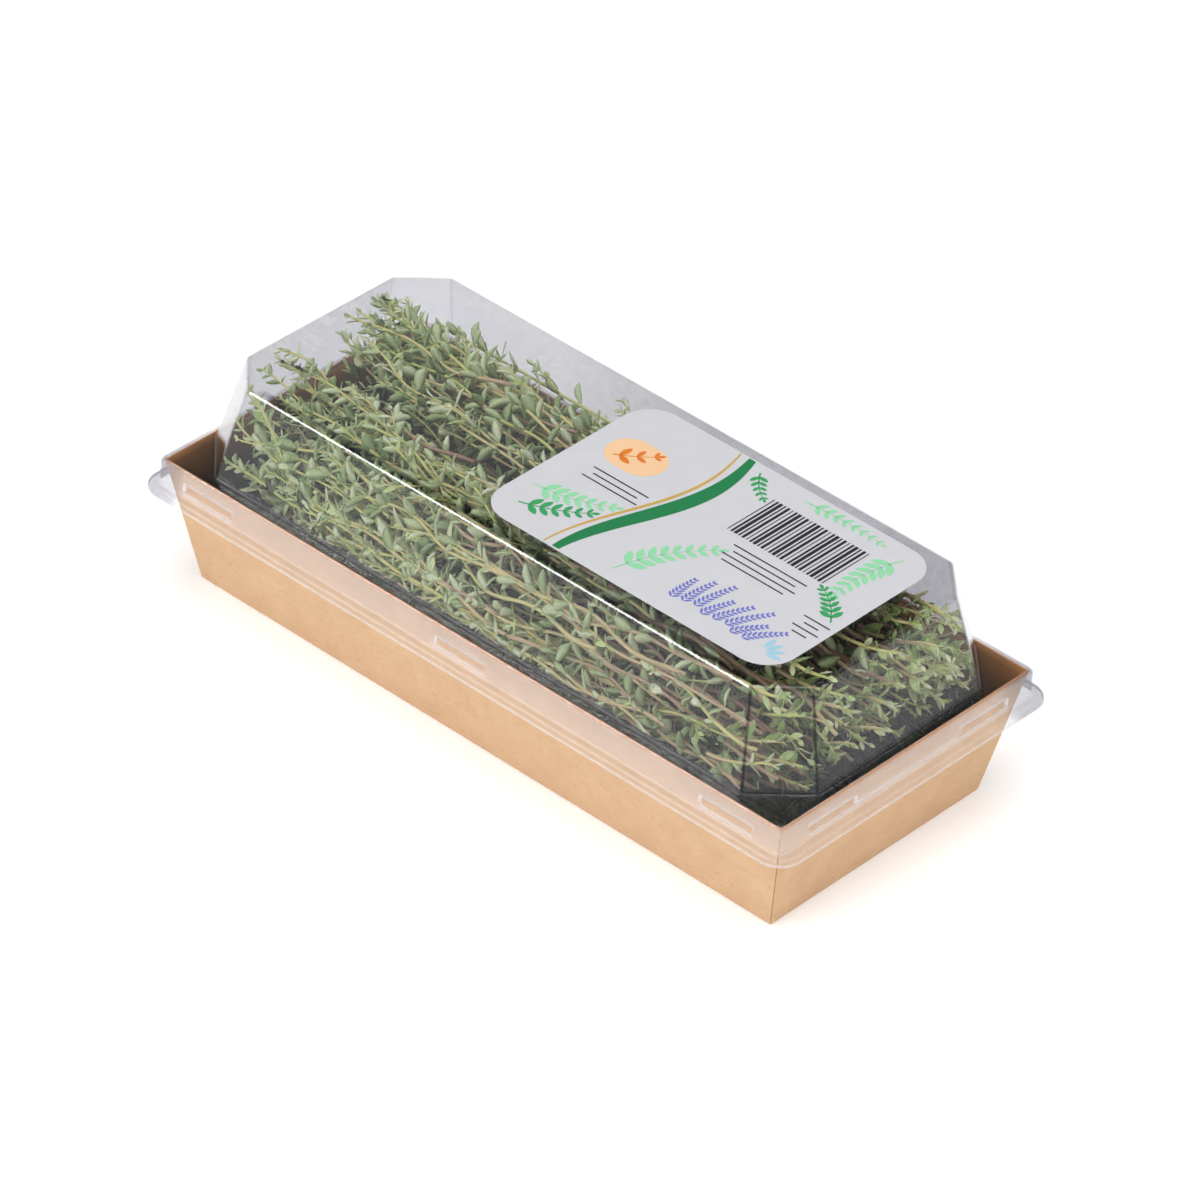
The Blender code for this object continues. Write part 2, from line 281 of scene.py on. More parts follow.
FLOOR_SIDE, FLOOR_GLOW = 4000.0, 0.22
floor_finish, end = new_material("white_paper_floor")
finish_with(end, add(end, "BsdfPrincipled", Base_Color=linear("#F6F6F6"), Roughness=0.9,
                     Emission_Color=linear("#FFFFFF"), Emission_Strength=FLOOR_GLOW))
corners = np.array([[-1, -1, 0], [1, -1, 0], [1, 1, 0], [-1, 1, 0]], float) * FLOOR_SIDE / 2
floor = make_piece("floor", corners, [np.array([[0, 1, 2, 3]])], [floor_finish])
floor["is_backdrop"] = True


# Direction in which each stands off the pack's middle, its distance and side in metres, and its watts
SOFTBOXES = {
    "overhead_softbox": ((0.05, 0.10, 1.0), 2.2, 2.4, 46.0),
    "front_softbox": ((-0.1, -1.0, 0.75), 2.3, 1.7, 28.0),
    "end_softbox": ((1.0, -0.1, 0.5), 2.4, 1.4, 15.0),
}
PACK_MIDDLE = Vector((0.0, 0.0, 0.04))


def softbox(name, towards, distance, side, watts):
    """A square light that stands off the pack's middle along a direction and faces it."""
    lamp = bpy.data.lights.new(name, "AREA")
    lamp.shape, lamp.size, lamp.energy = "SQUARE", side, watts
    stand = bpy.data.objects.new(name, lamp)
    away = Vector(towards).normalized()
    stand.location = away * distance + PACK_MIDDLE
    stand.rotation_euler = away.to_track_quat("Z", "Y").to_euler()
    stand.visible_camera = False
    bpy.context.scene.collection.objects.link(stand)


for name, values in SOFTBOXES.items():
    softbox(name, *values)
print("softboxes", len(SOFTBOXES))

# %% [markdown]
# Two cards that are only mirrored.
#
# A pale veil covers the far left of the lid's top, and a bright line runs along its front edge. Seen from
# the camera, a flat mirror shows the room as if the eye were the same distance below it. So the veil's
# card is found by drawing lines from that mirrored eye through points on the top, up to the height where
# the card hangs. The rounded front edge turns from the wall to the top, so it mirrors a whole arc round
# the pack's long axis, with the part of the direction along that axis kept. A bent strip on that arc
# makes the edge one straight white line. Neither card lights the rest.

# %% Mirrored cards
LID_TOP = 70.0
CARD_HEIGHT, VEIL_GLOW = 1500.0, 0.7
eye = np.array(spot) / MM
mirrored_eye = eye * [1, 1, -1] + [0, 0, 2 * LID_TOP]
seen_on_top = np.array([[-108.0, -37.2], [72.0, -31.2], [72.0, 60.0], [-108.0, 60.0]])
through = np.column_stack([seen_on_top, np.full(4, LID_TOP)]) - mirrored_eye
veil_points = mirrored_eye + through * ((CARD_HEIGHT - mirrored_eye[2]) / through[:, 2])[:, None]

STRIP_STEPS, STRIP_REACH, STRIP_HALF, STRIP_GLOW = 13, 1900.0, 0.15, 20.0
rise = np.radians(np.linspace(16, 74, STRIP_STEPS))
edge_middle = np.array([0.0, -39.0, 69.0])
kept = -(eye - edge_middle)[0] / np.linalg.norm(eye - edge_middle)
strip_points = np.concatenate([
    np.column_stack([np.full(STRIP_STEPS, part), -math.sqrt(1 - part ** 2) * np.cos(rise),
                     math.sqrt(1 - part ** 2) * np.sin(rise)])
    for part in (kept - STRIP_HALF, kept + STRIP_HALF)
]) * STRIP_REACH + edge_middle
one = np.arange(STRIP_STEPS - 1)
strip_faces = np.column_stack([one, one + STRIP_STEPS, one + STRIP_STEPS + 1, one + 1])


def mirrored_card(name, points, faces, strength):
    """A glowing card that shows in glossy surfaces, and is neither seen nor lights anything else."""
    material, end = new_material(name + "_glow")
    finish_with(end, add(end, "Emission", Color=linear("#FFFFFF"), Strength=strength))
    card = make_piece(name, points, [faces], [material])
    card.visible_camera = card.visible_diffuse = card.visible_shadow = card.visible_transmission = False
    card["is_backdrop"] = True


mirrored_card("veil_card", veil_points, np.array([[3, 2, 1, 0]]), VEIL_GLOW)
mirrored_card("edge_card", strip_points, strip_faces, STRIP_GLOW)
print("veil card corners m", np.round(veil_points * MM, 2).tolist())

# %% [markdown]
# Rings that turn a corner.
#
# The tray and the lid are both stacks of closed rings. Every ring has the same number of points, so the
# faces between two rings are a plain grid. A ring is four straight sides and four corners. A corner is
# either an arc, as on the skirt, or a bevel with softly rounded ends, as on the dome.

# %% Ring shapes
RIM_LENGTH, RIM_WIDTH, RIM_HEIGHT = 228.6, 100.0, 40.4
CORNER_STEPS = np.linspace(0, 1, 16)[1:-1]


def arc_corner(radius, share):
    """Points of a quarter arc, measured from the square corner at its outside: share 0 is on the side that
    runs along X, and share 1 on the side that runs along Y."""
    turn = share * math.pi / 2
    return radius * np.column_stack([np.sin(turn) - 1, 1 - np.cos(turn)])


def bevel_corner(bevel, radius, share):
    """Points of a 45 degree bevel whose two ends are arcs: the first and last three tenths of the share go
    round the arcs, and the rest runs straight between them."""
    reach = radius * math.tan(math.pi / 8)
    early = np.clip(share / 0.3, 0, 1) * math.pi / 4
    late = np.clip((share - 0.7) / 0.3, 0, 1) * math.pi / 4
    half = math.sqrt(0.5) * reach
    first = np.column_stack([radius * np.sin(early) - reach - bevel, radius * (1 - np.cos(early))])
    run = np.clip((share - 0.3) / 0.4, 0, 1)[:, None] * (bevel - 2 * half)
    last = np.column_stack([
        radius * (np.sin(late + math.pi / 4) - math.sqrt(0.5)),
        radius * (math.sqrt(0.5) - np.cos(late + math.pi / 4)),
    ])
    return first + run + last


def ring(half_x, half_y, corner, side_x, side_y):
    """A closed ring, counter-clockwise from the front left: each side is a straight run between the ends of
    two corners, read at the given shares, and each corner is the same corner turned by a right angle."""
    start, stop = corner(np.array([0.0]))[0], corner(np.array([1.0]))[0]
    bend = corner(CORNER_STEPS)
    parts = []
    for turn in range(4):
        c, s = (1, 0, -1, 0)[turn], (0, 1, 0, -1)[turn]
        spin = np.array([[c, s], [-s, c]])
        across, deep = (half_x, half_y) if turn % 2 == 0 else (half_y, half_x)
        begin = np.array([-across + stop[1], -deep])
        finish = np.array([across + start[0], -deep])
        share = (side_x if turn % 2 == 0 else side_y)[:, None]
        parts += [(begin + (finish - begin) * share) @ spin, (bend + [across, -deep]) @ spin]
    return np.concatenate(parts)


def stack_rings(rings, heights):
    """Rings of (x, y) points at their heights, which may differ from point to point, as one table."""
    rows = [np.column_stack([flat, np.broadcast_to(z, len(flat))]) for flat, z in zip(rings, heights)]
    return np.concatenate(rows)


# %% [markdown]
# Kraft board.
#
# The board is unbleached pulp: brown, matt, with short darker and paler fibres that lie mostly along the
# sheet. Fibres are about 1 mm long and 0.15 mm wide, too fine to show from two metres, so they are drawn
# about three times as coarse. The cut rim shows bare orange-brown pulp, and a fold opens the sheet a
# little and shows as a dark line. One number at the tray's points gives both: low at the rim and high in
# a fold. The film inside is thin, and it turns from black to warm brown towards the rim.

# %% Kraft board material
def kraft_board():
    """Pressed kraft pulp: broad mottling, stretched fibres, dark flecks, a bare rim, dark fold lines and a
    soft bump."""
    material, end = new_material("kraft_board")
    place = add(end, "TexCoord").outputs["Object"]
    fibres = add(end, "Mapping", Vector=place, Scale=(0.35, 0.35, 1.0)).outputs[0]
    cloud, grain = noise(end, place, 9, 4.0), noise(end, fibres, 0.9, 3.0, 0.7)
    base = ramp(end, cloud, (0.3, "#CAA47D"), (0.7, "#D2AE86"))
    pulp = ramp(end, grain, (0.25, "#E9D9C6"), (0.5, "#FFFFFF"), (0.8, "#FFFFFF"))
    tone = mix(end, 0.55, base, pulp, "MULTIPLY")
    flecks = ramp(end, noise(end, fibres, 0.55, 1.0), (0.70, "#000000"), (0.78, "#FFFFFF"))
    tone = mix(end, flecks, tone, linear("#B98B5E"))
    seam = mark(end, "seam")
    bare = ramp(end, seam, (0.0, "#D2763A"), (0.42, "#C46A32"), (0.6, "#4A2A16"), (1.0, "#4A2A16"))
    tone = mix(end, seam, tone, bare)
    bump = raised(end, grain, 0.25, 0.08)
    finish_with(end, add(end, "BsdfPrincipled", Base_Color=tone, Roughness=0.72, Normal=bump))
    return material


def black_film():
    """Black polyethylene film laminated on the board: glossy, faintly wrinkled, and warm brown towards
    the rim, reaching further down at the cut ends than at the tips."""
    material, end = new_material("black_lining_film")
    place = add(end, "TexCoord").outputs["Object"]
    axes = add(end, "SeparateXYZ", Vector=place).outputs
    tall = calculate(end, "MULTIPLY_ADD", axes["X"], 0.025, axes["Z"])
    ragged = calculate(end, "MULTIPLY_ADD", noise(end, place, 14, 3.0), 8 * MM, tall)
    rim_brown = spread(end, ragged, 21 * MM, 44 * MM)
    tone = ramp(end, rim_brown, (0.0, "#0B0B0D"), (0.35, "#3A2818"), (0.75, "#8E6644"), (1.0, "#B98252"))
    bump = raised(end, noise(end, place, 5, 2.0), 0.2, 0.2)
    finish_with(end, add(end, "BsdfPrincipled", Base_Color=tone, Roughness=0.28, Normal=bump))
    return material


kraft, lining = kraft_board(), black_film()
print("tray materials", kraft.name, lining.name)

# %% [markdown]
# The tray.
#
# The real tray is one blank, creased and folded up, so its walls lean out, its folds are tight and its
# four upright corners show a fine dark line. The surface starts at the middle of the underside, goes out
# to the fold, up the outside, over the cut rim and down the inside to the middle of the floor.

# %% Tray
FLOOR_LENGTH, FLOOR_WIDTH, BOARD = 213.6, 84.6, 0.7
LONG_STEPS, SHORT_STEPS = np.linspace(0, 1, 31), np.linspace(0, 1, 15)
CORNER_RADIUS, BOW = 0.7, 0.35  # the long walls bow in a little
SEAM_DEPTH, SEAM_SHARE = 0.28, 0.12  # the fold's notch, and its half width as a share of the corner
BARE_RIM, BARE_FROM, BARE_TO = 0.45, 39.3, 40.1  # the rim's mark, and the heights it grows between


def peak(share, middle, half_width):
    """1 at the middle, falling in straight lines to 0 at the half width to each side."""
    return np.clip(1 - np.abs(share - middle) / half_width, 0, 1)


def tray_ring(z, inset, radius, seam):
    """Ring of the tapered tray at a height: half sizes grow evenly from floor to rim, less an inset. The
    middle of each outer corner is pressed in by the seam's depth."""
    rise = z / RIM_HEIGHT
    half_x = (FLOOR_LENGTH + (RIM_LENGTH - FLOOR_LENGTH) * rise) / 2 - inset
    half_y = (FLOOR_WIDTH + (RIM_WIDTH - FLOOR_WIDTH) * rise) / 2 - inset

    def corner(share):
        notch = seam * SEAM_DEPTH * peak(share, 0.5, SEAM_SHARE)[:, None]
        return arc_corner(radius, share) + notch * [-1, 1] * math.sqrt(0.5)

    return ring(half_x, half_y, corner, LONG_STEPS, SHORT_STEPS)


def build_tray():
    """Stacks the rings of the outside, the rim and the inside, and closes both floors on a middle point."""
    outside = [(0.0, 40.0), (0.0, 0.9), (0.03, 0.45), (0.14, 0.2), (0.4, 0.03)]
    outside += [(z, 0.0) for z in (0.9, 3.0, 10.0, 20.0, 30.0, 36.0, 39.3, 40.1)] + [(40.3, 0.08)]
    inside = [(RIM_HEIGHT, 0.22), (RIM_HEIGHT, BOARD - 0.2), (40.25, BOARD)]
    inside += [(z, BOARD) for z in (38.0, 34.0, 26.0, 16.0, 6.0, 1.6)]
    inside += [(BOARD + 0.15, BOARD + 0.2), (BOARD, BOARD + 0.6), (BOARD, 40.0)]
    rows = [(z, inset, 1) for z, inset in outside] + [(z, inset, 0) for z, inset in inside]
    rings = [tray_ring(z, inset, CORNER_RADIUS if inset < 30 else 2.0, seam) for z, inset, seam in rows]
    columns = len(rings[0])
    points = stack_rings(rings, [z for z, _, _ in rows])
    count = len(points)
    points = np.concatenate([points, [[0, 0, 0], [0, 0, BOARD]]])
    first, last = np.arange(columns), np.arange(count - columns, count)
    faces = [grid_faces(len(rows), columns), fan_faces(first, count, True), fan_faces(last, count + 1)]
    x, y, z = points[:count].T
    bow = np.sin(np.pi * z / RIM_HEIGHT) * (1 - (x / x.max()) ** 2) * BOW
    points[:count, 1] -= np.sign(y) * np.where(np.abs(y) > 40, bow, 0)
    fold = peak(CORNER_STEPS, 0.5, SEAM_SHARE)
    around = np.concatenate([np.zeros(len(LONG_STEPS)), fold, np.zeros(len(SHORT_STEPS)), fold] * 2)
    folds = np.tile(around, len(rows)) * np.repeat([seam for _, _, seam in rows], columns)
    bare = [np.interp(z, (BARE_FROM, BARE_TO), (0, BARE_RIM)) * (inset < BOARD) for z, inset, _ in rows]
    seam = np.concatenate([np.maximum(folds, np.repeat(bare, columns)), [0, 0]])
    inner = np.repeat(np.arange(len(rows) - 1) >= len(outside) + 1, columns)
    finish = np.concatenate([inner, np.zeros(columns), np.ones(columns)])
    return make_piece("tray_board", points, faces, [kraft, lining], {"seam": seam}, face_finish=finish)


tray = dress(build_tray(), "kraft_board", "tray")
print("tray faces", len(tray.data.polygons))

# %% [markdown]
# Clear sheet.
#
# The lid is thin clear PET, formed over a mould. It has no colour of its own: each of its two faces
# mirrors a few percent of the light straight on and far more at a glancing angle, and lets the rest
# through. That rise is Schlick's rule: a base share plus the rest times the fifth power of one minus the
# cosine. A thin sheet doesn't bend what is behind it, so a transparent shader stands for what passes. Two
# marks at the points tell where it is less clear. Cloud is the share of white haze that moulding leaves,
# most of it in the tight folds, and it breaks up the mirror image. The other mark is painted shade: a grey
# that passes less light and turns the mirror off, standing for the dark room mirrored and bent in the
# folds.

# %% Clear sheet material
HEAD_ON = 0.028  # mirror share of one face seen straight on


def clear_sheet():
    """Thermoformed clear PET: see-through, with Schlick's mirror share, hazy in its folds, and painted
    shade in its folds and corners.
    """
    material, end = new_material("clear_pet_sheet")
    facing = add(end, "LayerWeight", Blend=0.5).outputs["Facing"]
    cloud, painted_shade = mark(end, "cloud"), mark(end, "painted_shade")
    schlick = calculate(end, "MULTIPLY_ADD", calculate(end, "POWER", facing, 5.0), 1 - HEAD_ON, HEAD_ON)
    mirror = calculate(end, "MULTIPLY", schlick, spread(end, cloud, 0.01, 0.055, 1.0, 0.08))
    # Painted shade: where this mark is high the sheet mirrors nothing and passes a grey that darkens what
    # lies behind.
    mirror = calculate(end, "MULTIPLY", mirror, spread(end, painted_shade, 0.6, 1.0, 1.0, 0.0))
    glass = mix(end, painted_shade, linear("#FCFCFD"), linear("#A9A9B2"))
    clear = add(end, "BsdfTransparent", Color=glass).outputs[0]
    haze = add(end, "BsdfDiffuse", Color=linear("#F0F0F4")).outputs[0]
    body = add(end, "MixShader", Fac=cloud, _1=clear, _2=haze).outputs[0]
    rough = calculate(end, "MULTIPLY_ADD", cloud, 1.6, 0.02)
    gloss = add(end, "BsdfGlossy", Color=linear("#FFFFFF"), Roughness=rough).outputs[0]
    finish_with(end, add(end, "MixShader", Fac=mirror, _1=body, _2=gloss))
    return material


sheet = clear_sheet()
print("lid material", sheet.name)

# %% [markdown]
# The lid.
#
# From the outside in, the mould gives a lip with a stepped edge, an upright skirt with tabs pressed
# in, a round shoulder over the tray's rim, a flat land, and an eight-sided dome that leans in to a flat
# top. The skirt's corners are arcs and the dome's are bevels. Each row of the tables below is one ring:
# how far it stands beyond the rim, its height, its corner's radius and its cloud.

# %% Lid profile
SKIRT_CORNER, SKIRT_OUT = 2.4, 1.4
LAND_HEIGHT = 41.2
DOME_LENGTH, DOME_WIDTH, DOME_BEVEL = 223.2, 93.9, 14.2
TOP_LENGTH, TOP_WIDTH, TOP_BEVEL = 208.3, 80.7, 11.7
TOP_EDGE, WALL_LEAN = 1.25, math.radians(12.9)
TAB_LENGTH, TAB_LOW, TAB_HIGH, TAB_DEPTH = 19.5, 33.5, 36.8, 1.1
LONG_TABS, SHORT_TABS = (-96.0, 0.0, 96.0), (-30.5, 30.5)

lip_rows = [
    (5.3, 31.3, 7.5, 0.22), (5.3, 31.85, 7.5, 0.22), (5.25, 32.07, 7.4, 0.18), (5.12, 32.17, 7.3, 0.10),
    (4.9, 32.2, 7.0, 0.06), (4.7, 32.2, 6.8, 0.06), (4.1, 32.2, 6.2, 0.06), (3.9, 32.2, 6.0, 0.07),
    (3.72, 32.26, 5.9, 0.10), (3.62, 32.42, 5.8, 0.11), (3.5, 32.6, 5.7, 0.10), (3.3, 32.65, 5.5, 0.07),
    (3.1, 32.65, 5.2, 0.06), (2.3, 32.65, 4.0, 0.06), (1.95, 32.68, 3.4, 0.07), (1.62, 32.88, 2.8, 0.10),
    (1.46, 33.15, 2.5, 0.20),
]
SKIRT_CLOUD, TAB_CLOUD, OUTLINE_CLOUD = 0.14, 0.05, 0.55
SIDE_CLOUD, EDGE_CLOUD, TOP_CLOUD = 0.012, 0.008, 0.003
skirt_heights = (
    33.3, 33.6, 34.0, 34.4, 34.8, 35.4, 36.0, 36.4, 36.55, 36.7, 36.85, 37.0, 37.2, 37.9, 38.8, 39.5,
)
skirt_rows = [(SKIRT_OUT - 0.02 * (z - TAB_LOW), z, SKIRT_CORNER, SKIRT_CLOUD) for z in skirt_heights]
shoulder_turns = np.radians([12, 28, 45, 62, 78, 90])
shoulder_rows = [
    (-0.35 + 1.62 * math.cos(a), 39.55 + 1.65 * math.sin(a), 2.2, 0.16 * math.cos(a) ** 3 + 0.01)
    for a in shoulder_turns
]
land_rows = [(-0.55, LAND_HEIGHT, 2.2, 0.004), (-0.9, LAND_HEIGHT, 2.2, 0.004)]
# The dome's foot and walls: how far inside the dome's own size, height and cloud
foot_rows = [
    (-1.0, 41.2, 0.01), (-0.5, 41.2, 0.03), (-0.22, 41.26, 0.07), (-0.07, 41.42, 0.07), (0, 41.7, 0.03),
]
wall_rows = [(0, z, 0.005) for z in (42.0, 42.6, 45.0, 49.0, 53.0, 57.0, 61.0, 65.0, 67.6, 68.5)]
# The flat top: how far inside its edge, and the share of the painted shade behind the front fold
top_rows = [(1.3, 0.7), (1.8, 1.0), (3.2, 1.0), (3.8, 0.0), (5.0, 0.0), (7.0, 0.0)]


def smooth_window(value, low, high, slope):
    """1 between two limits and 0 outside them, with a smooth step as wide as the slope at each limit."""
    step = np.clip(np.minimum(value - low, high - value) / slope, 0, 1)
    return step * step * (3 - 2 * step)


def side_shares(half, tabs):
    """Shares along a side, close together at the ends of each tab and 5 mm apart elsewhere."""
    near = np.array([-0.35, 0.0, 0.25, 0.5, 0.75, 1.1])
    ends = [tab + turn * (TAB_LENGTH / 2 - near) for tab in tabs for turn in (-1, 1)]
    even = np.linspace(-half, half, int(2 * half / 5) + 1)
    close = np.sort(np.concatenate(ends))
    close = close[np.abs(close) < half]
    even = even[np.min(np.abs(even[:, None] - close[None, :]), axis=1) > 0.6]
    return (np.sort(np.concatenate([even, close])) + half) / (2 * half)


lid_long = side_shares(RIM_LENGTH / 2 + SKIRT_OUT - SKIRT_CORNER, LONG_TABS)
lid_short = side_shares(RIM_WIDTH / 2 + SKIRT_OUT - SKIRT_CORNER, SHORT_TABS)
print("points round the lid", 2 * (len(lid_long) + len(lid_short)) + 4 * len(CORNER_STEPS))

# %% [markdown]
# This grey is painted shade: it stands for the dark room mirrored and bent in the folds.
# Painted shade in the folds.
#
# In the photograph the dome's upright folds are grey lines. The bevel next to the eye has the two darkest,
# the far corner and the back edge are greyer than the rest, and a thin grey line runs behind the front
# edge of the top. The skirt and the lip are grey only at two corners, left and right, and fade from there.
# Every list goes once round a ring, from the front side counter-clockwise: side, corner, side, corner.

# %% Painted shade round a ring
# Strengths of the painted shade: over the dome, on the lip and skirt corners, and behind the front fold.
DOME_SHADE, LIP_SHADE, SKIRT_SHADE, FOLD_SHADE = 0.16, 0.42, 0.30, 0.50
NEAR_BEND, OTHER_BEND, BEND_PLACE, BEND_SHARE = 0.84, 0.12, 0.35, 0.12
FAR_SHADE, BACK_SHADE, LEFT_SHADE = 0.21, 0.25, 0.03
bend = peak(np.abs(CORNER_STEPS - 0.5), BEND_PLACE, BEND_SHARE)
back_shade = np.interp((0.5 - lid_long) * TOP_LENGTH, (-55, 5), (0.02, BACK_SHADE))
left_bend = OTHER_BEND * bend + LEFT_SHADE
edge_shade = DOME_SHADE + np.concatenate([
    np.zeros(len(lid_long)), NEAR_BEND * bend, np.zeros(len(lid_short)), OTHER_BEND * bend + FAR_SHADE,
    back_shade, left_bend, np.full(len(lid_short), LEFT_SHADE), left_bend,
])
front_side = np.arange(len(edge_shade)) < len(lid_long)
front_fold = np.zeros(len(edge_shade))
front_fold[front_side] = np.clip(np.minimum(lid_long, 1 - lid_long) * TOP_LENGTH / 6, 0, 1)
plain, grey = np.zeros(len(CORNER_STEPS)), np.ones(len(CORNER_STEPS))
corner_mask = np.concatenate([
    np.clip(2.0 - lid_long * RIM_LENGTH / 4, 0, 1), plain,
    np.clip(2.75 - (1 - lid_short) * RIM_WIDTH / 4, 0, 1), grey,
    np.clip(3.0 - lid_long * RIM_LENGTH / 6, 0, 1), plain,
    np.clip(3.0 - (1 - lid_short) * RIM_WIDTH / 6, 0, 1), grey,
])
print("smoke round the dome", round(edge_shade.min(), 2), "to", round(edge_shade.max(), 2))

# %% [markdown]
# Pressing the tabs and bending the dome.
#
# A tab is a shallow box pressed into the skirt. It is the product of two smooth windows, one along the
# side and one in height, times its depth. The dome's rings are eight-sided, each a little smaller than
# the one below, and the edge of the top is an arc between the leaning wall and the level top.

# %% Lid
BEAD_FROM, BEAD_TO, BEAD_DEPTH = -27.0, 21.0, 0.55
PRESSED_EDGE, LOW_OUTLINE, LOW_OUTLINE_TO = 0.9, 0.4, 1.2
WALL_SWAY, TOP_SAG, SHEET_THICK = 0.07, 0.012, 0.35


def press_tabs(flat, z):
    """Moves a skirt ring inwards where the tabs are, and along a shallow low bead on each end. A tab's
    upper edge is sharp, and its lower edge is twice as soft. Also gives how far in each point went."""
    x, y = flat[:, 0], flat[:, 1]
    tall = min(smooth_window(z, TAB_LOW - 0.4, 60.0, 1.0), smooth_window(z, 0.0, TAB_HIGH + 0.25, 0.45))
    along, aside = (
        sum(smooth_window(place, tab - TAB_LENGTH / 2, tab + TAB_LENGTH / 2, PRESSED_EDGE) for tab in tabs)
        for place, tabs in ((x, LONG_TABS), (y, SHORT_TABS))
    )
    bead = smooth_window(y, BEAD_FROM, BEAD_TO, 1.5) * smooth_window(z, 33.2, 34.8, 0.4)
    front = np.abs(y) > RIM_WIDTH / 2
    end = np.abs(x) > RIM_LENGTH / 2
    deep_y = np.where(front, along * tall * TAB_DEPTH, 0)
    deep_x = np.where(end, np.maximum(aside * tall * TAB_DEPTH, bead * BEAD_DEPTH), 0)
    moved = flat - np.column_stack([np.sign(x) * deep_x, np.sign(y) * deep_y])
    return moved, np.clip(np.maximum(deep_x, deep_y) / TAB_DEPTH, 0, 1)


def dome_ring(rise, inset, radius=2.2):
    """An eight-sided ring: half sizes and bevel go evenly from the dome's foot to its top as rise goes from
    0 to 1, and an inset shrinks it evenly on all eight sides."""
    half_x = (DOME_LENGTH + (TOP_LENGTH - DOME_LENGTH) * rise) / 2 - inset
    half_y = (DOME_WIDTH + (TOP_WIDTH - DOME_WIDTH) * rise) / 2 - inset
    bevel = DOME_BEVEL + (TOP_BEVEL - DOME_BEVEL) * rise - (2 - math.sqrt(2)) * inset
    return ring(half_x, half_y, lambda share: bevel_corner(bevel, radius, share), lid_long, lid_short)


def lid_rings():
    """Every ring from the lip to the middle of the top, with its height, its cloud and its painted shade.
    """
    rows = []
    for out, z, radius, cloud in lip_rows + skirt_rows + shoulder_rows + land_rows:
        half_x, half_y = RIM_LENGTH / 2 + out, RIM_WIDTH / 2 + out
        flat = ring(half_x, half_y, lambda share, r=radius: arc_corner(r, share), lid_long, lid_short)
        flat, pressed = press_tabs(flat, z)
        outline = 4 * pressed * (1 - pressed) * (LOW_OUTLINE if z < TAB_LOW + LOW_OUTLINE_TO else 1.0)
        cloud = cloud + (TAB_CLOUD - cloud) * pressed * (pressed > 0.01) + OUTLINE_CLOUD * outline
        on_skirt, on_lip = np.clip(out / 0.5, 0, 1), np.clip((out - SKIRT_OUT) / 0.5, 0, 1)
        # Painted shade on the skirt and the lip, at two corners only.
        painted_shade = (SKIRT_SHADE * on_skirt + (LIP_SHADE - SKIRT_SHADE) * on_lip) * corner_mask
        rows.append((flat, z, cloud, painted_shade))
    # The dome's walls take the painted shade round the ring.
    for inset, z, cloud in foot_rows + wall_rows:
        flat = dome_ring((z - LAND_HEIGHT) / (LID_TOP - LAND_HEIGHT), inset)
        cloud = np.where(front_side, cloud, min(cloud, SIDE_CLOUD))
        rows.append((flat, z, cloud, edge_shade * (inset > -1.0)))
    centre = (TOP_EDGE - TOP_EDGE * math.sin(WALL_LEAN)) / math.cos(WALL_LEAN)
    for turn in np.linspace(WALL_LEAN, math.pi / 2, 8):
        flat = dome_ring(1.0, centre - TOP_EDGE * math.cos(turn))
        z = LID_TOP - TOP_EDGE + TOP_EDGE * math.sin(turn)
        rows.append((flat, z, EDGE_CLOUD, (edge_shade + DOME_SHADE) / 2))
    for inset, tint in top_rows:
        # Painted shade over the top, with a darker band just behind the front edge.
        painted_shade = DOME_SHADE + FOLD_SHADE * tint * front_fold
        rows.append((dome_ring(1.0, inset), LID_TOP, TOP_CLOUD, painted_shade))
    flat = rows[-1][0]
    for scale in (0.9, 0.8, 0.68, 0.56, 0.44, 0.32, 0.2, 0.1):
        rows.append((flat * scale, LID_TOP, TOP_CLOUD, DOME_SHADE))
    return rows


def build_lid():
    """Stacks the rings, closes them on the middle of the top, lets the walls sway and the top sag a little,
    and gives the sheet its thickness inwards."""
    rings, heights, clouds, painted_shades = zip(*lid_rings())
    columns, rows = len(rings[0]), len(rings)
    points = stack_rings(rings, heights)
    x, y, z = points.T
    on_wall = np.clip((z - 43) / 3, 0, 1) * np.clip((64 - z) / 9, 0, 1)
    sway = WALL_SWAY * on_wall * np.sin(x / 19 + 1.0) * np.sin(z / 6 + y / 31)
    points[:, :2] *= (1 + sway / np.hypot(x, y).clip(20))[:, None]
    inward = np.minimum(TOP_LENGTH / 2 - np.abs(x), TOP_WIDTH / 2 - np.abs(y))
    sagging = np.clip((inward - 1.5) / 4, 0, 1) * (z > LID_TOP - 0.01)
    points[:, 2] -= TOP_SAG * sagging * (1 + np.sin(x / 23 + 2.0) * np.sin(y / 17 + 0.6))
    points = np.concatenate([points, [[0, 0, LID_TOP - TOP_SAG]]])
    last = np.arange((rows - 1) * columns, rows * columns)
    faces = [grid_faces(rows, columns), fan_faces(last, rows * columns)]
    marks = {
        name: np.concatenate([*(np.broadcast_to(value, columns) for value in values), [values[-1]]])
        for name, values in (("cloud", clouds), ("painted_shade", painted_shades))
    }
    piece = make_piece("clear_lid", points, faces, [sheet], marks)
    wall = piece.modifiers.new("sheet", "SOLIDIFY")
    wall.thickness, wall.offset = SHEET_THICK * MM, -1.0
    return piece


lid = dress(build_lid(), "clear_sheet", "lid")
print("lid faces", len(lid.data.polygons))

# %% [markdown]
# The label.
#
# The real label is coated paper with rounded corners, printed in a few inks. Here the paper is a thin
# rounded plate on the lid's top, and each ink is a set of very thin flat shapes on it, one mesh an ink.
# The design is a plain one of our own: a waved band, leaf sprigs, flower spikes, a stripe block that
# spells nothing, and empty lines to write on.

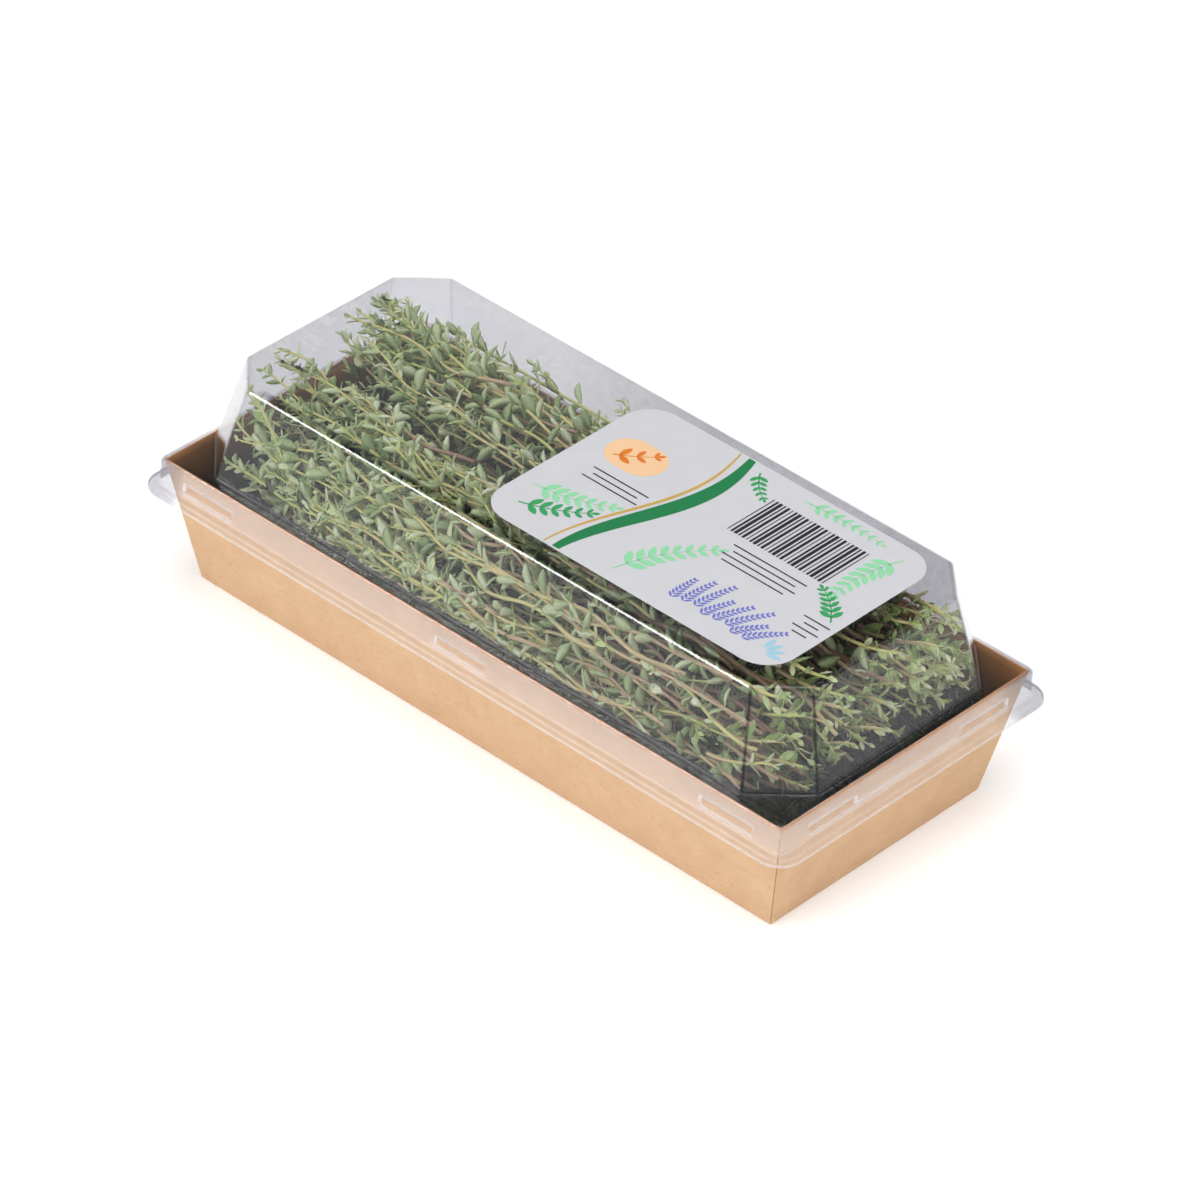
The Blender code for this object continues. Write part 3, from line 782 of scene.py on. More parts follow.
# %% Label paper and inks
def coated_paper(name, code):
    """Clay-coated label paper or ink on it: one even colour, a faint cockle and a soft gloss."""
    material, end = new_material(name)
    place = add(end, "TexCoord").outputs["Object"]
    cockle = noise(end, place, 6, 3.0)
    tone = mix(end, 0.08, linear(code), cockle, "MULTIPLY")
    bump = raised(end, cockle, 0.15, 0.05)
    finish_with(end, add(end, "BsdfPrincipled", Base_Color=tone, Roughness=0.42, Normal=bump))
    return material


LABEL_LENGTH, LABEL_WIDTH, LABEL_CORNER = 105.5, 69.0, 10.0
LABEL_CENTRE = np.array([39.5, 1.5])
LABEL_FOOT, LABEL_TOP, INK = 70.06, 70.24, 0.03


def turned(points, turn):
    """Points of a plane turned about its origin by an angle: x and y mix by its cosine and its sine."""
    c, s = math.cos(turn), math.sin(turn)
    return points @ np.array([[c, s], [-s, c]])


def plates(outlines, low, high):
    """Thin flat plates: each outline is a ring of (x, y) points, repeated at a low and a high level, with
    a cap on both and a wall between."""
    points, faces, count = [], [], 0
    for outline in outlines:
        size = len(outline)
        points += [np.column_stack([outline, np.full(size, z)]) for z in (low, high)]
        order = np.arange(size) + count
        faces += [order[None, ::-1], order[None, :] + size, grid_faces(2, size) + count]
        count += 2 * size
    return np.concatenate(points), faces


def rounded_plate(length, width, radius, centre, steps=9):
    """Outline of a rectangle whose corners are quarter arcs, counter-clockwise."""
    turn = np.linspace(0, math.pi / 2, steps)
    arc = radius * np.column_stack([np.sin(turn), -np.cos(turn)])
    reach = np.array([length, width]) / 2 - radius
    signs = np.array([(1, -1), (1, 1), (-1, 1), (-1, -1)])
    parts = [turned(arc, quarter * math.pi / 2) + signs[quarter] * reach for quarter in range(4)]
    return np.concatenate(parts) + centre


def make_print(name, finish, code, outlines, low, high):
    """Flat plates in one coated colour, as one piece."""
    points, faces = plates(outlines, low, high)
    piece = make_piece(name, points, faces, [coated_paper(finish, code)])
    piece.data.shade_flat()
    return piece


outline = rounded_plate(LABEL_LENGTH, LABEL_WIDTH, LABEL_CORNER, LABEL_CENTRE)
label = make_print("paper_label", "coated_label_paper", "#CDCDD1", [outline], LABEL_FOOT, LABEL_TOP)
dress(label, "label_paper", "label")
print("label mm", LABEL_LENGTH, "by", LABEL_WIDTH)

# %% [markdown]
# Printed motifs.
#
# A leaf is a lens: its half width is a sine of the way along it. A stem is a strip whose middle bends
# evenly. A sprig is a stem with pairs of leaves that shrink towards its tip. They are placed in the
# label's own plan, with its long side level, and every one is cut short of the label's edge.

# %% Motifs
def lens_leaf(base, turn, length, width, steps=7):
    """Outline of a leaf from its base: half width is half the width times the sine of pi times the share
    of the length, to the power 0.8, and the whole is turned about the base."""
    share = np.linspace(0, 1, steps)
    half = width / 2 * np.sin(np.pi * share) ** 0.8
    line = np.concatenate([np.column_stack([share * length, -half]),
                           np.column_stack([share * length, half])[-2:0:-1]])
    return turned(line, turn) + base


def strip(base, turn, length, bend, width, steps=9):
    """Outline of a strip whose middle line turns by `bend` from end to end, and a function that gives the
    place and the heading on its middle line at a share of its length."""
    share = np.linspace(0, 1, steps)
    heading = turn + bend * share
    step = length / (steps - 1) * np.column_stack([np.cos(heading), np.sin(heading)])
    middle = np.concatenate([[[0.0, 0.0]], np.cumsum(step[:-1], axis=0)]) + base
    aside = np.column_stack([-np.sin(heading), np.cos(heading)]) * (width / 2 * (1 - 0.6 * share))[:, None]
    outline = np.concatenate([middle - aside, (middle + aside)[::-1]])

    def at(part):
        place = np.array([np.interp(part, share, middle[:, i]) for i in (0, 1)])
        return place, np.interp(part, share, heading)

    return outline, at


def printed_sprig(base, turn, length, bend, leaf, pairs):
    """A stem strip with pairs of lens leaves, smaller towards its tip, and one leaf at the tip."""
    line, at = strip(np.array(base), turn, length, bend, 0.5)
    shapes = [line]
    for share in np.linspace(0.15, 0.95, pairs):
        place, lean = at(share)
        size = leaf * (1.15 - 0.6 * share)
        shapes += [lens_leaf(place, lean + side * 0.85, size, size * 0.42) for side in (-1, 1)]
    return shapes + [lens_leaf(*at(1.0), leaf * 0.6, leaf * 0.25)]


def flower_spike(base, turn, length, bend, rows):
    """Small petals in rows on both sides of a bent line, like a spike of small flowers."""
    _, at = strip(np.array(base), turn, length, bend, 0.4)
    shapes = []
    for share in np.linspace(0.3, 1.0, rows):
        place, lean = at(share)
        size = 2.6 * (1.25 - 0.75 * share)
        shapes += [lens_leaf(place, lean + side * 0.75, size, 0.8) for side in (-1, 1)]
    return shapes


def print_ink(name, code, shapes, level):
    """Lays one ink's shapes on the label as plates, a hair above the inks laid before it."""
    low = LABEL_TOP + level * INK
    shapes = [shape + LABEL_CENTRE for shape in shapes]
    dress(make_print(name, name + "_ink", code, shapes, low, low + INK * 0.8), "label_paper")
    print(name, "shapes", len(shapes))


def wave_band(middle, swing, width, steps=40):
    """A band across the label whose middle line is a sine of the way across."""
    y = np.linspace(-LABEL_WIDTH / 2 + 0.5, LABEL_WIDTH / 2 - 0.5, steps)
    x = middle + swing * np.sin(np.pi * y / LABEL_WIDTH * 1.3 + 0.5)
    half = width / 2 * (0.45 + 0.55 * np.cos(np.pi * y / LABEL_WIDTH))
    return np.concatenate([np.column_stack([x + half, y]), np.column_stack([x - half, y])[::-1]])


def printed_sprigs(*rows):
    """The shapes of several printed sprigs together."""
    return [shape for row in rows for shape in printed_sprig(*row)]


# Each sprig's foot, direction, length, bend, leaf length and number of leaf pairs
pale_sprigs = printed_sprigs(
    ((-7.0, -30.0), 1.35, 30.0, -0.6, 5.6, 8),
    ((44.0, 29.0), -1.9, 26.0, 0.5, 5.2, 8),
    ((-48.0, -17.0), 0.1, 24.0, 0.5, 5.0, 7),
    ((8.0, 30.0), 0.1, 27.0, -0.2, 3.4, 8),
)
deep_sprigs = printed_sprigs(
    ((-45.0, -26.0), 0.35, 20.0, 0.4, 4.6, 6),
    ((49.0, -6.0), 2.2, 15.0, 0.5, 4.0, 6),
    ((-9.0, 31.0), -1.0, 12.0, 0.5, 3.2, 5),
)
SPIKES, SPIKE_PITCH = 8, 3.1
spikes = []
for spike in range(SPIKES):
    taller = spike % 3
    foot = (13.0 + SPIKE_PITCH * spike, -32.0)
    spikes += flower_spike(foot, 1.8 - 0.1 * spike, 14.0 + 2.5 * taller, -0.3, 8 + taller)
STRIPES, STRIPE_PITCH, STRIPE_LENGTH = 26, 1.35, 19.0
stripes = []
for stripe in range(STRIPES):
    width = STRIPE_PITCH * (0.22 + 0.14 * (stripe * 7 % 5))
    stripes.append(rounded_plate(width, STRIPE_LENGTH, 0.05, (2.0 + STRIPE_PITCH * stripe, 15.0), 2))
rules = [
    rounded_plate(length - 4.0 * (row % 2), 0.45, 0.1, (x, y - 2.4 * row), 2)
    for x, y, length, rows in ((21.0, 1.5, 26.0, 4), (-32.0, 0.5, 20.0, 3), (46.5, -8.5, 9.0, 4))
    for row in range(rows)
]
blue_buds = [
    lens_leaf(np.array([44.0 + 2.2 * math.cos(turn), -29.0 + 2.2 * math.sin(turn)]), turn, 5.0, 1.6)
    for turn in (0.2, 0.65, 1.1, 1.55)
]

print_ink("green_band", "#0B7A43", [wave_band(-18.0, 6.0, 5.2)], 1)
print_ink("gold_band", "#C9A24A", [wave_band(-22.2, 6.0, 1.1)], 1)
print_ink("tan_disc", "#F0C79A", [rounded_plate(19.0, 14.0, 6.9, (-37.0, 12.0))], 1)
print_ink("orange_sprig", "#DD7A22", printed_sprig((-42.5, 8.5), 0.55, 12.0, 0.3, 4.6, 3), 2)
print_ink("pale_sprigs", "#8FD6A4", pale_sprigs, 1)
print_ink("deep_sprigs", "#2F9E5B", deep_sprigs, 2)
print_ink("lavender_spikes", "#6F74C4", spikes, 1)
print_ink("black_stripes", "#17171A", stripes + rules, 2)
print_ink("blue_buds", "#9CCBDD", blue_buds, 2)

# %% [markdown]
# Where the thyme may be.
#
# Sprigs packed under a lid press flat against it. The room inside is the space under eight leaning dome
# walls and the top, and above the tray's floor between its four leaning walls. Each of these is a plane,
# and a point that would pass one is eased back, the more gently the nearer it is, so pressed leaves keep
# a little thickness.

# %% Room inside
def room_planes():
    """Unit normals and distances of the planes that bound the inside. A leaning plane goes through a line
    at a low height and one at a high height, each given by its distance from the middle."""
    def leaning(x, y, low, at_low, high, at_high):
        rise = (at_low - at_high) / (high - low)
        normal = np.array([x, y, rise])
        size = np.linalg.norm(normal)
        return normal / size, (at_low + rise * low) / size

    diagonal = math.sqrt(0.5)
    foot = ((DOME_LENGTH + DOME_WIDTH) / 2 - DOME_BEVEL) * diagonal
    head = ((TOP_LENGTH + TOP_WIDTH) / 2 - TOP_BEVEL) * diagonal
    planes = [(np.array([0, 0, 1.0]), LID_TOP), (np.array([0, 0, -1.0]), -BOARD)]
    for sign in (-1, 1):
        planes.append(leaning(sign, 0, LAND_HEIGHT, DOME_LENGTH / 2, LID_TOP, TOP_LENGTH / 2))
        planes.append(leaning(0, sign, LAND_HEIGHT, DOME_WIDTH / 2, LID_TOP, TOP_WIDTH / 2))
        planes.append(leaning(sign, 0, 0, FLOOR_LENGTH / 2 - BOARD, RIM_HEIGHT, RIM_LENGTH / 2 - BOARD))
        planes.append(leaning(0, sign, 0, FLOOR_WIDTH / 2 - BOARD, RIM_HEIGHT, RIM_WIDTH / 2 - BOARD))
        for other in (-1, 1):
            planes.append(leaning(sign * diagonal, other * diagonal, LAND_HEIGHT, foot, LID_TOP, head))
    return planes


ROOM = room_planes()
WALL_SOFTNESS, PILE_SOFTNESS = 0.35, 2.0
PILE_LIMITS = ((1, 92.0, 0.0), (-1, 94.0, 7.0))  # side, height plus width there, growth to the right


def ease_behind(points, normal, limit, softness):
    """Eases points behind a plane: with v the way past it, v becomes minus the softness times the
    logarithm of one plus e to the power of minus v over the softness."""
    past = (points @ normal - limit) / softness
    return points + ((-np.logaddexp(0, -past) - past) * softness)[..., None] * normal


def keep_inside(points, margin=0.75):
    """Eases points behind every plane of the room, less a margin."""
    for normal, distance in ROOM:
        points = ease_behind(points, normal, distance - margin, WALL_SOFTNESS)
    return points


def round_pile(path):
    """Eases a line down and inwards where it would fill the upper long edges of the dome, which stay
    empty: two planes that lean at 45 degrees, further out towards the cut ends at the front."""
    for side, limit, more in PILE_LIMITS:
        limit = limit + more * np.clip((path[:, 0] + 20) / 100, 0, 1)
        normal = np.array([0.0, side, 1.0]) * math.sqrt(0.5)
        path = ease_behind(path, normal, limit * math.sqrt(0.5), PILE_SOFTNESS)
    return path


print("planes round the room", len(ROOM))


# %% [markdown]
# Thyme leaf and stem.
#
# A thyme leaf is 4 to 7 mm long, a third as wide, leathery and grey-green, paler below, with its edges
# turned slightly down. Leaves stand in pairs, each pair at a right angle to the last. The stem is thin and
# squarish: yellow-green near the tip, then tan, then woody brown-pink at the cut. One material reads each
# leaf's tone and which side it is, and the other reads how old the stem is. Both tones also carry painted
# shade, darkest deep in the pile and under the land.

# %% Thyme materials
def thyme_leaf():
    """Leathery leaf: its tone from dark to pale olive green, a paler grey underside, a light midrib, fine
    mottling a third of a millimetre across, and a soft waxy gloss."""
    material, end = new_material("thyme_leaf")
    mottle = noise(end, add(end, "TexCoord").outputs["Object"], 0.9, 3.0)
    varied = calculate(end, "MULTIPLY_ADD", mottle, 0.35, mark(end, "tone"))
    # The near-black end of these ramps is painted shade, reached by leaves deep in the pile and under the
    # land.
    top = ramp(end, varied, (0.0, "#0C1207"), (0.22, "#3E5222"), (0.5, "#9DBB67"), (0.78, "#D5EB9A"),
               (1.0, "#F0F6C4"))
    grey = ramp(end, varied, (0.0, "#10160C"), (0.22, "#4E5F38"), (0.5, "#AFC591"), (1.0, "#E8F3CC"))
    green = mix(end, mark(end, "under"), top, grey)
    across = add(end, "SeparateXYZ", Vector=add(end, "UVMap", {"uv_map": "UVMap"}).outputs[0]).outputs["Y"]
    off_rib = calculate(end, "ABSOLUTE", calculate(end, "SUBTRACT", across, 0.5))
    green = mix(end, ramp(end, off_rib, (0.0, "#9A9A9A"), (0.12, "#000000")), green, linear("#C6D09A"))
    bump = raised(end, mottle, 0.3, 0.12)
    finish_with(end, add(end, "BsdfPrincipled", Base_Color=green, Roughness=0.6, Normal=bump,
                         Specular_IOR_Level=0.18))
    return material


def thyme_stem():
    """Young square stem turning to wood: yellow-green, straw, then brown-pink, with fine lengthwise hairs
    of tone."""
    material, end = new_material("thyme_stem")
    place = add(end, "TexCoord").outputs["Object"]
    streak = noise(end, add(end, "Mapping", Vector=place, Scale=(0.25, 1.0, 1.0)).outputs[0], 0.7, 3.0)
    varied = calculate(end, "MULTIPLY_ADD", streak, 0.24, mark(end, "tone"))
    # The last stop, near black, is painted shade for stems deep in the pile and under the land.
    tone = ramp(end, varied, (0.08, "#B6CC6A"), (0.32, "#E4E190"), (0.52, "#E2CE9A"), (0.68, "#C8AA8E"),
                (0.8, "#A07C6A"), (1.0, "#1E1712"))
    bump = raised(end, streak, 0.3, 0.1)
    finish_with(end, add(end, "BsdfPrincipled", Base_Color=tone, Roughness=0.6, Normal=bump,
                         Specular_IOR_Level=0.2))
    return material


leaf_finish, stem_finish = thyme_leaf(), thyme_stem()
print("thyme materials", leaf_finish.name, stem_finish.name)

# %% [markdown]
# Many leaves at once.
#
# Every leaf is the same small closed grid: six points round the blade at four places along it, and a
# point at each end. The blade's outline is a lens, it folds up along its midrib and curls back towards
# its tip. Given tables of bases, directions and sizes, one array expression bends them all.

# %% Leaves and stems as arrays
LEAF_KIND, STEM_KIND = 0, 1  # which of the two finishes a part takes
LEAF_PLACES = np.array([0.10, 0.32, 0.60, 0.84])
LEAF_WIDTHS = np.array([0.34, 0.88, 1.0, 0.58])
AROUND = np.array([1.0, 0.5, 0.0, -0.5, -1.0, 0.0])
UNDERSIDE = np.array([0.35, 0.0, 0.0, 0.0, 0.35, 1.0])
LEAF_THICK = 0.22


def unit(vectors):
    """Vectors scaled to length one."""
    return vectors / np.linalg.norm(vectors, axis=-1, keepdims=True)


def blade_mesh(base, along, facing, length, width, curl, fold, tone):
    """Closed blades, one a row. With a the place along and s the place across, a point is the base, plus
    a times the length along the blade, plus s times the local half width across it, plus the fold times
    that width less the curl times the length times a squared, less the thickness on the under side."""
    count = len(base)
    across = np.cross(facing, along)
    far = length[:, None, None] * LEAF_PLACES[None, :, None] * np.ones(6)
    wide = width[:, None, None] / 2 * LEAF_WIDTHS[None, :, None] * AROUND
    drop = curl[:, None, None] * length[:, None, None] * LEAF_PLACES[None, :, None] ** 2
    lift = fold[:, None, None] * np.abs(wide) - drop - LEAF_THICK * UNDERSIDE
    body = (base[:, None, None, :] + far[..., None] * along[:, None, None, :]
            + wide[..., None] * across[:, None, None, :] + lift[..., None] * facing[:, None, None, :])
    tip = base + length[:, None] * along - (curl * length)[:, None] * facing
    points = np.concatenate([base[:, None, :], body.reshape(count, -1, 3), tip[:, None, :]], axis=1)
    size = points.shape[1]
    quads = grid_faces(len(LEAF_PLACES), 6) + 1
    first, last = np.arange(1, 7), np.arange(size - 7, size - 1)
    ends = np.concatenate([fan_faces(first, 0, True), fan_faces(last, size - 1)])
    shift = (np.arange(count) * size)[:, None, None]
    under = np.concatenate([[0.5], np.tile(UNDERSIDE, len(LEAF_PLACES)), [0.5]])
    flat_u = np.concatenate([[0], np.repeat(LEAF_PLACES, 6), [1]])
    flat_v = np.concatenate([[0.5], np.tile(0.5 + AROUND / 2, len(LEAF_PLACES)), [0.5]])
    marks = np.column_stack([np.repeat(tone, size), np.tile(under, count)])
    uv = np.tile(np.column_stack([flat_u, flat_v]), (count, 1))
    tables = [(quads + shift).reshape(-1, 4), (ends + shift).reshape(-1, 3)]
    return points.reshape(-1, 3), tables, marks, uv, LEAF_KIND


def side_axes(ahead):
    """For each direction along a line, two at right angles to it that turn smoothly with it."""
    steady = np.eye(3)[np.argmin(np.abs(ahead.mean(axis=0)))]
    aside = unit(np.cross(ahead, steady))
    return aside, np.cross(ahead, aside)


def stem_mesh(path, radius, age):
    """A tube with six sides round a path, closed at both ends. A ring's point is the path plus the radius
    times the cosine along one side axis and the sine along the other."""
    aside, other = side_axes(unit(np.gradient(path, axis=0)))
    turn = (np.arange(6) * math.pi / 3)[None, :, None]
    circle = np.cos(turn) * aside[:, None, :] + np.sin(turn) * other[:, None, :]
    body = path[:, None, :] + radius[:, None, None] * circle
    points = np.concatenate([body.reshape(-1, 3), path[:1], path[-1:]])
    count = len(path) * 6
    first, last = np.arange(6), np.arange(count - 6, count)
    ends = np.concatenate([fan_faces(first, count, True), fan_faces(last, count + 1)])
    faces = [grid_faces(len(path), 6), ends]
    marks = np.column_stack([np.concatenate([np.repeat(age, 6), age[:1], age[-1:]]), np.zeros(count + 2)])
    return points, faces, marks, np.zeros((count + 2, 2)), STEM_KIND


# %% [markdown]
# How a sprig grows.
#
# From its tip down, a shoot's leaf pairs are first crowded and small, then spread out and full size. In
# each leaf's armpit sits a tuft of tiny leaves, and here and there a short side shoot. Towards the cut
# end the leaves have dropped and the stem is bare. One function grows a shoot on any line. It is used
# for the long stem and again, smaller, for its side shoots.

# %% Grow a sprig
def walk(path, distance):
    """Points at given distances along a path, by straight interpolation between its points."""
    travelled = np.concatenate([[0], np.cumsum(np.linalg.norm(np.diff(path, axis=0), axis=1))])
    return np.column_stack([np.interp(distance, travelled, path[:, axis]) for axis in range(3)])


def path_length(path):
    """Length of a path of straight pieces."""
    return np.linalg.norm(np.diff(path, axis=0), axis=1).sum()


OLDEST = 0.72  # the stem colours beyond this are for stems in deep shadow
FIRST_GAP, GAP_GROWTH, WIDEST_GAP, MOST_PAIRS = 1.7, 0.9, 8.6, 60
TUFT, TUFT_SHARE, SIDE_SHOOT_SHARE = 4, 0.5, 0.2
KINDS = [
    # leaves at a node, their size, opening angle, and the spread of that, of the turn round the stem and
    # of the turn about the leaf's own length
    (2, 1.0, math.radians(52), 0.20, 0.22, 0.45),
    (TUFT, 0.50, math.radians(34), 0.25, 0.75, 0.7),
]


def grow_shoot(path, rng, leaf, thick, tone, age, bare, depth):
    """Parts of one shoot whose path goes from its tip to its foot. Leaf pairs sit at distances that grow
    from the tip; each leaf leaves the stem at an opening angle, in a plane that turns by a right angle
    from pair to pair. bare gives the share of leaves lost at each distance."""
    total = path_length(path)
    gap = np.minimum(FIRST_GAP + GAP_GROWTH * np.arange(MOST_PAIRS), WIDEST_GAP * leaf / 7.0)
    nodes = np.cumsum(gap * rng.uniform(0.85, 1.2, MOST_PAIRS))
    nodes = nodes[nodes < total - 2.0]
    travelled = np.linspace(0, total, max(int(total / 2.2), 6))
    line = walk(path, travelled)
    share = travelled / max(total, 1)
    radius = thick * (0.55 + 0.45 * share)
    if len(nodes):
        near = np.abs(travelled[:, None] - nodes[None, :]).min(axis=1)
        radius = radius * (1 + 0.22 * np.exp(-(near / 1.0) ** 2))
    radius[0] *= 0.5
    parts = [stem_mesh(line, radius, OLDEST * np.clip(age[0] + (age[1] - age[0]) * share, 0, 1))]
    if not len(nodes):
        return parts
    order, at = np.arange(len(nodes)), walk(path, nodes)
    ahead = unit(walk(path, nodes - 0.8) - walk(path, nodes + 0.8))
    aside, other = side_axes(ahead)
    bareness = np.interp(nodes, [0, total], bare)
    growth = np.clip(0.42 + 0.15 * order, 0, 1)
    phase = rng.uniform(0, math.pi)
    for leaves, size, opening, open_spread, round_spread, face_spread in KINDS:
        number = np.repeat(order, leaves)
        side = np.tile(np.arange(leaves) % 2, len(order))
        phi = phase + number * math.pi / 2 + side * math.pi + rng.normal(0, round_spread, len(number))
        alpha = opening + rng.normal(0, open_spread, len(number)) - 0.35 * (growth[number] < 0.6)
        out = np.cos(phi)[:, None] * aside[number] + np.sin(phi)[:, None] * other[number]
        along = unit(np.cos(alpha)[:, None] * ahead[number] + np.sin(alpha)[:, None] * out)
        facing = unit(np.sin(alpha)[:, None] * ahead[number] - np.cos(alpha)[:, None] * out)
        roll = rng.normal(0, face_spread, len(number))
        facing = np.cos(roll)[:, None] * facing + np.sin(roll)[:, None] * np.cross(facing, along)
        length = leaf * size * growth[number] * rng.uniform(0.8, 1.15, len(number))
        keep = rng.uniform(0, 1, len(number)) > bareness[number]
        if leaves == TUFT:
            keep &= rng.uniform(0, 1, len(number)) < TUFT_SHARE
        if keep.any():
            width = length * rng.uniform(0.40, 0.50, len(number))
            curl, fold = rng.uniform(0.0, 0.3, len(number)), rng.uniform(0.05, 0.45, len(number))
            tones = np.clip(tone + rng.normal(0, 0.16, len(number)), 0, 1)
            values = (at[number] + 0.5 * thick * out, along, facing, length, width, curl, fold, tones)
            parts.append(blade_mesh(*(value[keep] for value in values)))
    if depth:
        for node in range(3, len(nodes)):
            if rng.uniform() < SIDE_SHOOT_SHARE * (1 - bareness[node]):
                turn = phase + node * math.pi / 2 + (node % 2) * math.pi
                out = math.cos(turn) * aside[node] + math.sin(turn) * other[node]
                reach = rng.uniform(9, 24)
                step = np.linspace(0, 1, 12)[:, None]
                lean = unit(0.75 * ahead[node] + out)
                branch = at[node] + reach * (lean * step + 0.4 * (ahead[node] - lean) * step ** 2)
                parts += grow_shoot(branch[::-1], rng, leaf * 0.8, thick * 0.55, tone + 0.05,
                                    (age[0], age[0] + 0.15), (0.0, 0.15), depth - 1)
    return parts


# How the tone changes with the depth in the pile, and below the lid's land, where the tray hides the light
SHADE_FROM, SHADE_OVER, LEAF_SHADE, STEM_SHADE = 5.0, 14.0, 0.4, 0.15
LOW_OVER, LOW_LEAF, LOW_STEM = 1.6, 1.2, 1.0
BEVEL_FOOT = ((DOME_LENGTH + DOME_WIDTH) / 2 - DOME_BEVEL) * math.sqrt(0.5)


def sprig_piece(name, shoots):
    """One mesh from the parts of one or more shoots, all kept inside the pack. Deep in the pile and down in
    the tray it's dark, so painted shade lowers a leaf's tone and pushes a stem's tone towards near black,
    with the depth behind the nearest wall and below a line that leans out from the dome's foot."""
    points, faces, finish, marks, uvs, count = [], [], [], [], [], 0
    for part_points, tables, part_marks, part_uv, kind in shoots:
        points.append(part_points)
        marks.append(part_marks)
        uvs.append(part_uv)
        for table in tables:
            faces.append(table + count)
            finish.append(np.full(len(table), kind))
        count += len(part_points)
    marks = np.concatenate(marks)
    where = keep_inside(np.concatenate(points))
    deep = np.min([distance - where @ normal for normal, distance in ROOM if normal[2] > -0.9], axis=0)
    shade = np.clip((deep - SHADE_FROM) / SHADE_OVER, 0, 1)
    leafy = np.repeat([kind == LEAF_KIND for *_, kind in shoots], [len(part[0]) for part in shoots])
    marks[:, 0] += np.where(leafy, -LEAF_SHADE, STEM_SHADE) * shade
    flat_x, flat_y = np.abs(where[:, 0]), np.abs(where[:, 1])
    outwards = np.maximum(flat_y - DOME_WIDTH / 2, flat_x - DOME_LENGTH / 2)
    outwards = np.maximum(outwards, 0.74 * ((flat_x + flat_y) * math.sqrt(0.5) - BEVEL_FOOT))
    below = np.clip((outwards + LAND_HEIGHT - where[:, 2]) / LOW_OVER + 0.9, 0, 1)
    marks[:, 0] += np.where(leafy, -LOW_LEAF, LOW_STEM) * below
    named, finishes = {"tone": marks[:, 0], "under": marks[:, 1]}, [leaf_finish, stem_finish]
    return make_piece(name, where, faces, finishes, named, np.concatenate(uvs), np.concatenate(finish))


# %% [markdown]
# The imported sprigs.
#
# Thirty-six sprigs are solids of their own. They lie in six layers of six lanes, and each runs down its
# lane with a sideways sway that turns from layer to layer. The same line is worked out again here, so a
# fine sprig grows just where its solid lies.

# %% Sprigs in their lanes
LAYERS, LANES = 6, 6
LANE_PITCH, LAYER_PITCH, LOWEST_LANE = 12.5, 10.75, 7.3
OUTER_SWAY, INNER_SWAY, SWAY_LENGTH, SWAY_TURN = 4.0, 8.0, 290.0, 1.9
CROWN, CROWN_WIDTH, GATHER = 0.3, 42.0, 0.84


def stem_line(layer, lane, x):
    """Middle line of a sprig: its lane's y plus a sine of x, and its layer's height with a low crown, the
    whole drawn together towards the cut ends."""
    sway = OUTER_SWAY + (INNER_SWAY - OUTER_SWAY) * math.sin(math.pi * layer / (LAYERS - 1))
    y = (lane - (LANES - 1) / 2) * LANE_PITCH
    y = y + sway * np.sin(2.0 * math.pi * x / SWAY_LENGTH + SWAY_TURN * layer)
    share = np.clip((x + 40.0) / 130.0, 0.0, 1.0)
    gather = 1.0 - (1.0 - GATHER) * share * share * (3.0 - 2.0 * share)
    crown = CROWN * layer * (1.0 - (y / CROWN_WIDTH) ** 2)
    z = LOWEST_LANE + (layer * LAYER_PITCH + crown) * gather
    return np.stack([x, y, z], axis=1)


rng = np.random.default_rng(23)


def wander(path, size, rng):
    """Adds a slow sideways and up-and-down wander: two sines a direction with random phase."""
    x = path[:, 0]
    for axis in (1, 2):
        for wave in (34.0, 71.0):
            path[:, axis] += size * rng.uniform(0.5, 1.0) * np.sin(2 * math.pi * (x / wave + rng.uniform()))
    return path


packed_faces = 0
for layer in range(LAYERS):
    for lane in range(LANES):
        node = f"sprig_{layer * LANES + lane:02d}"
        low, high = (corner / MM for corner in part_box(node))
        x = np.linspace(low.x + 4.0, high.x, 90)
        path = round_pile(keep_inside(wander(stem_line(layer, lane, x), 0.8, rng), 1.6))
        woody, leaf = rng.uniform(0, 0.45), rng.uniform(6.2, 7.8)
        # Painted shade: each layer lower in the pile starts a little darker.
        tone = rng.uniform(0.3, 0.8) - 0.05 * (LAYERS - 1 - layer)
        parts = grow_shoot(path, rng, leaf, 0.62, tone, (0.05 + woody / 2, 0.4 + woody), (0.0, 0.85), 1)
        piece = dress(sprig_piece(node.replace("sprig", "thyme"), parts), "thyme_green", node)
        packed_faces += len(piece.data.polygons)
print("faces of the packed sprigs", packed_faces)

# %% [markdown]
# Loose sprigs between them.
#
# A pile of cut herbs is never combed straight. Shorter sprigs lie across the lanes at small angles, most
# of them in the outer part of the pile, where they are seen through the lid. A table of zones gives each
# part of the pile its sprigs: long ones at the front, on top and at the back, leafy tips at the left end,
# and many short cut ends at the right, half of them turned round. They are grown in bunches, a mesh a
# bunch, by the same function on freer lines.

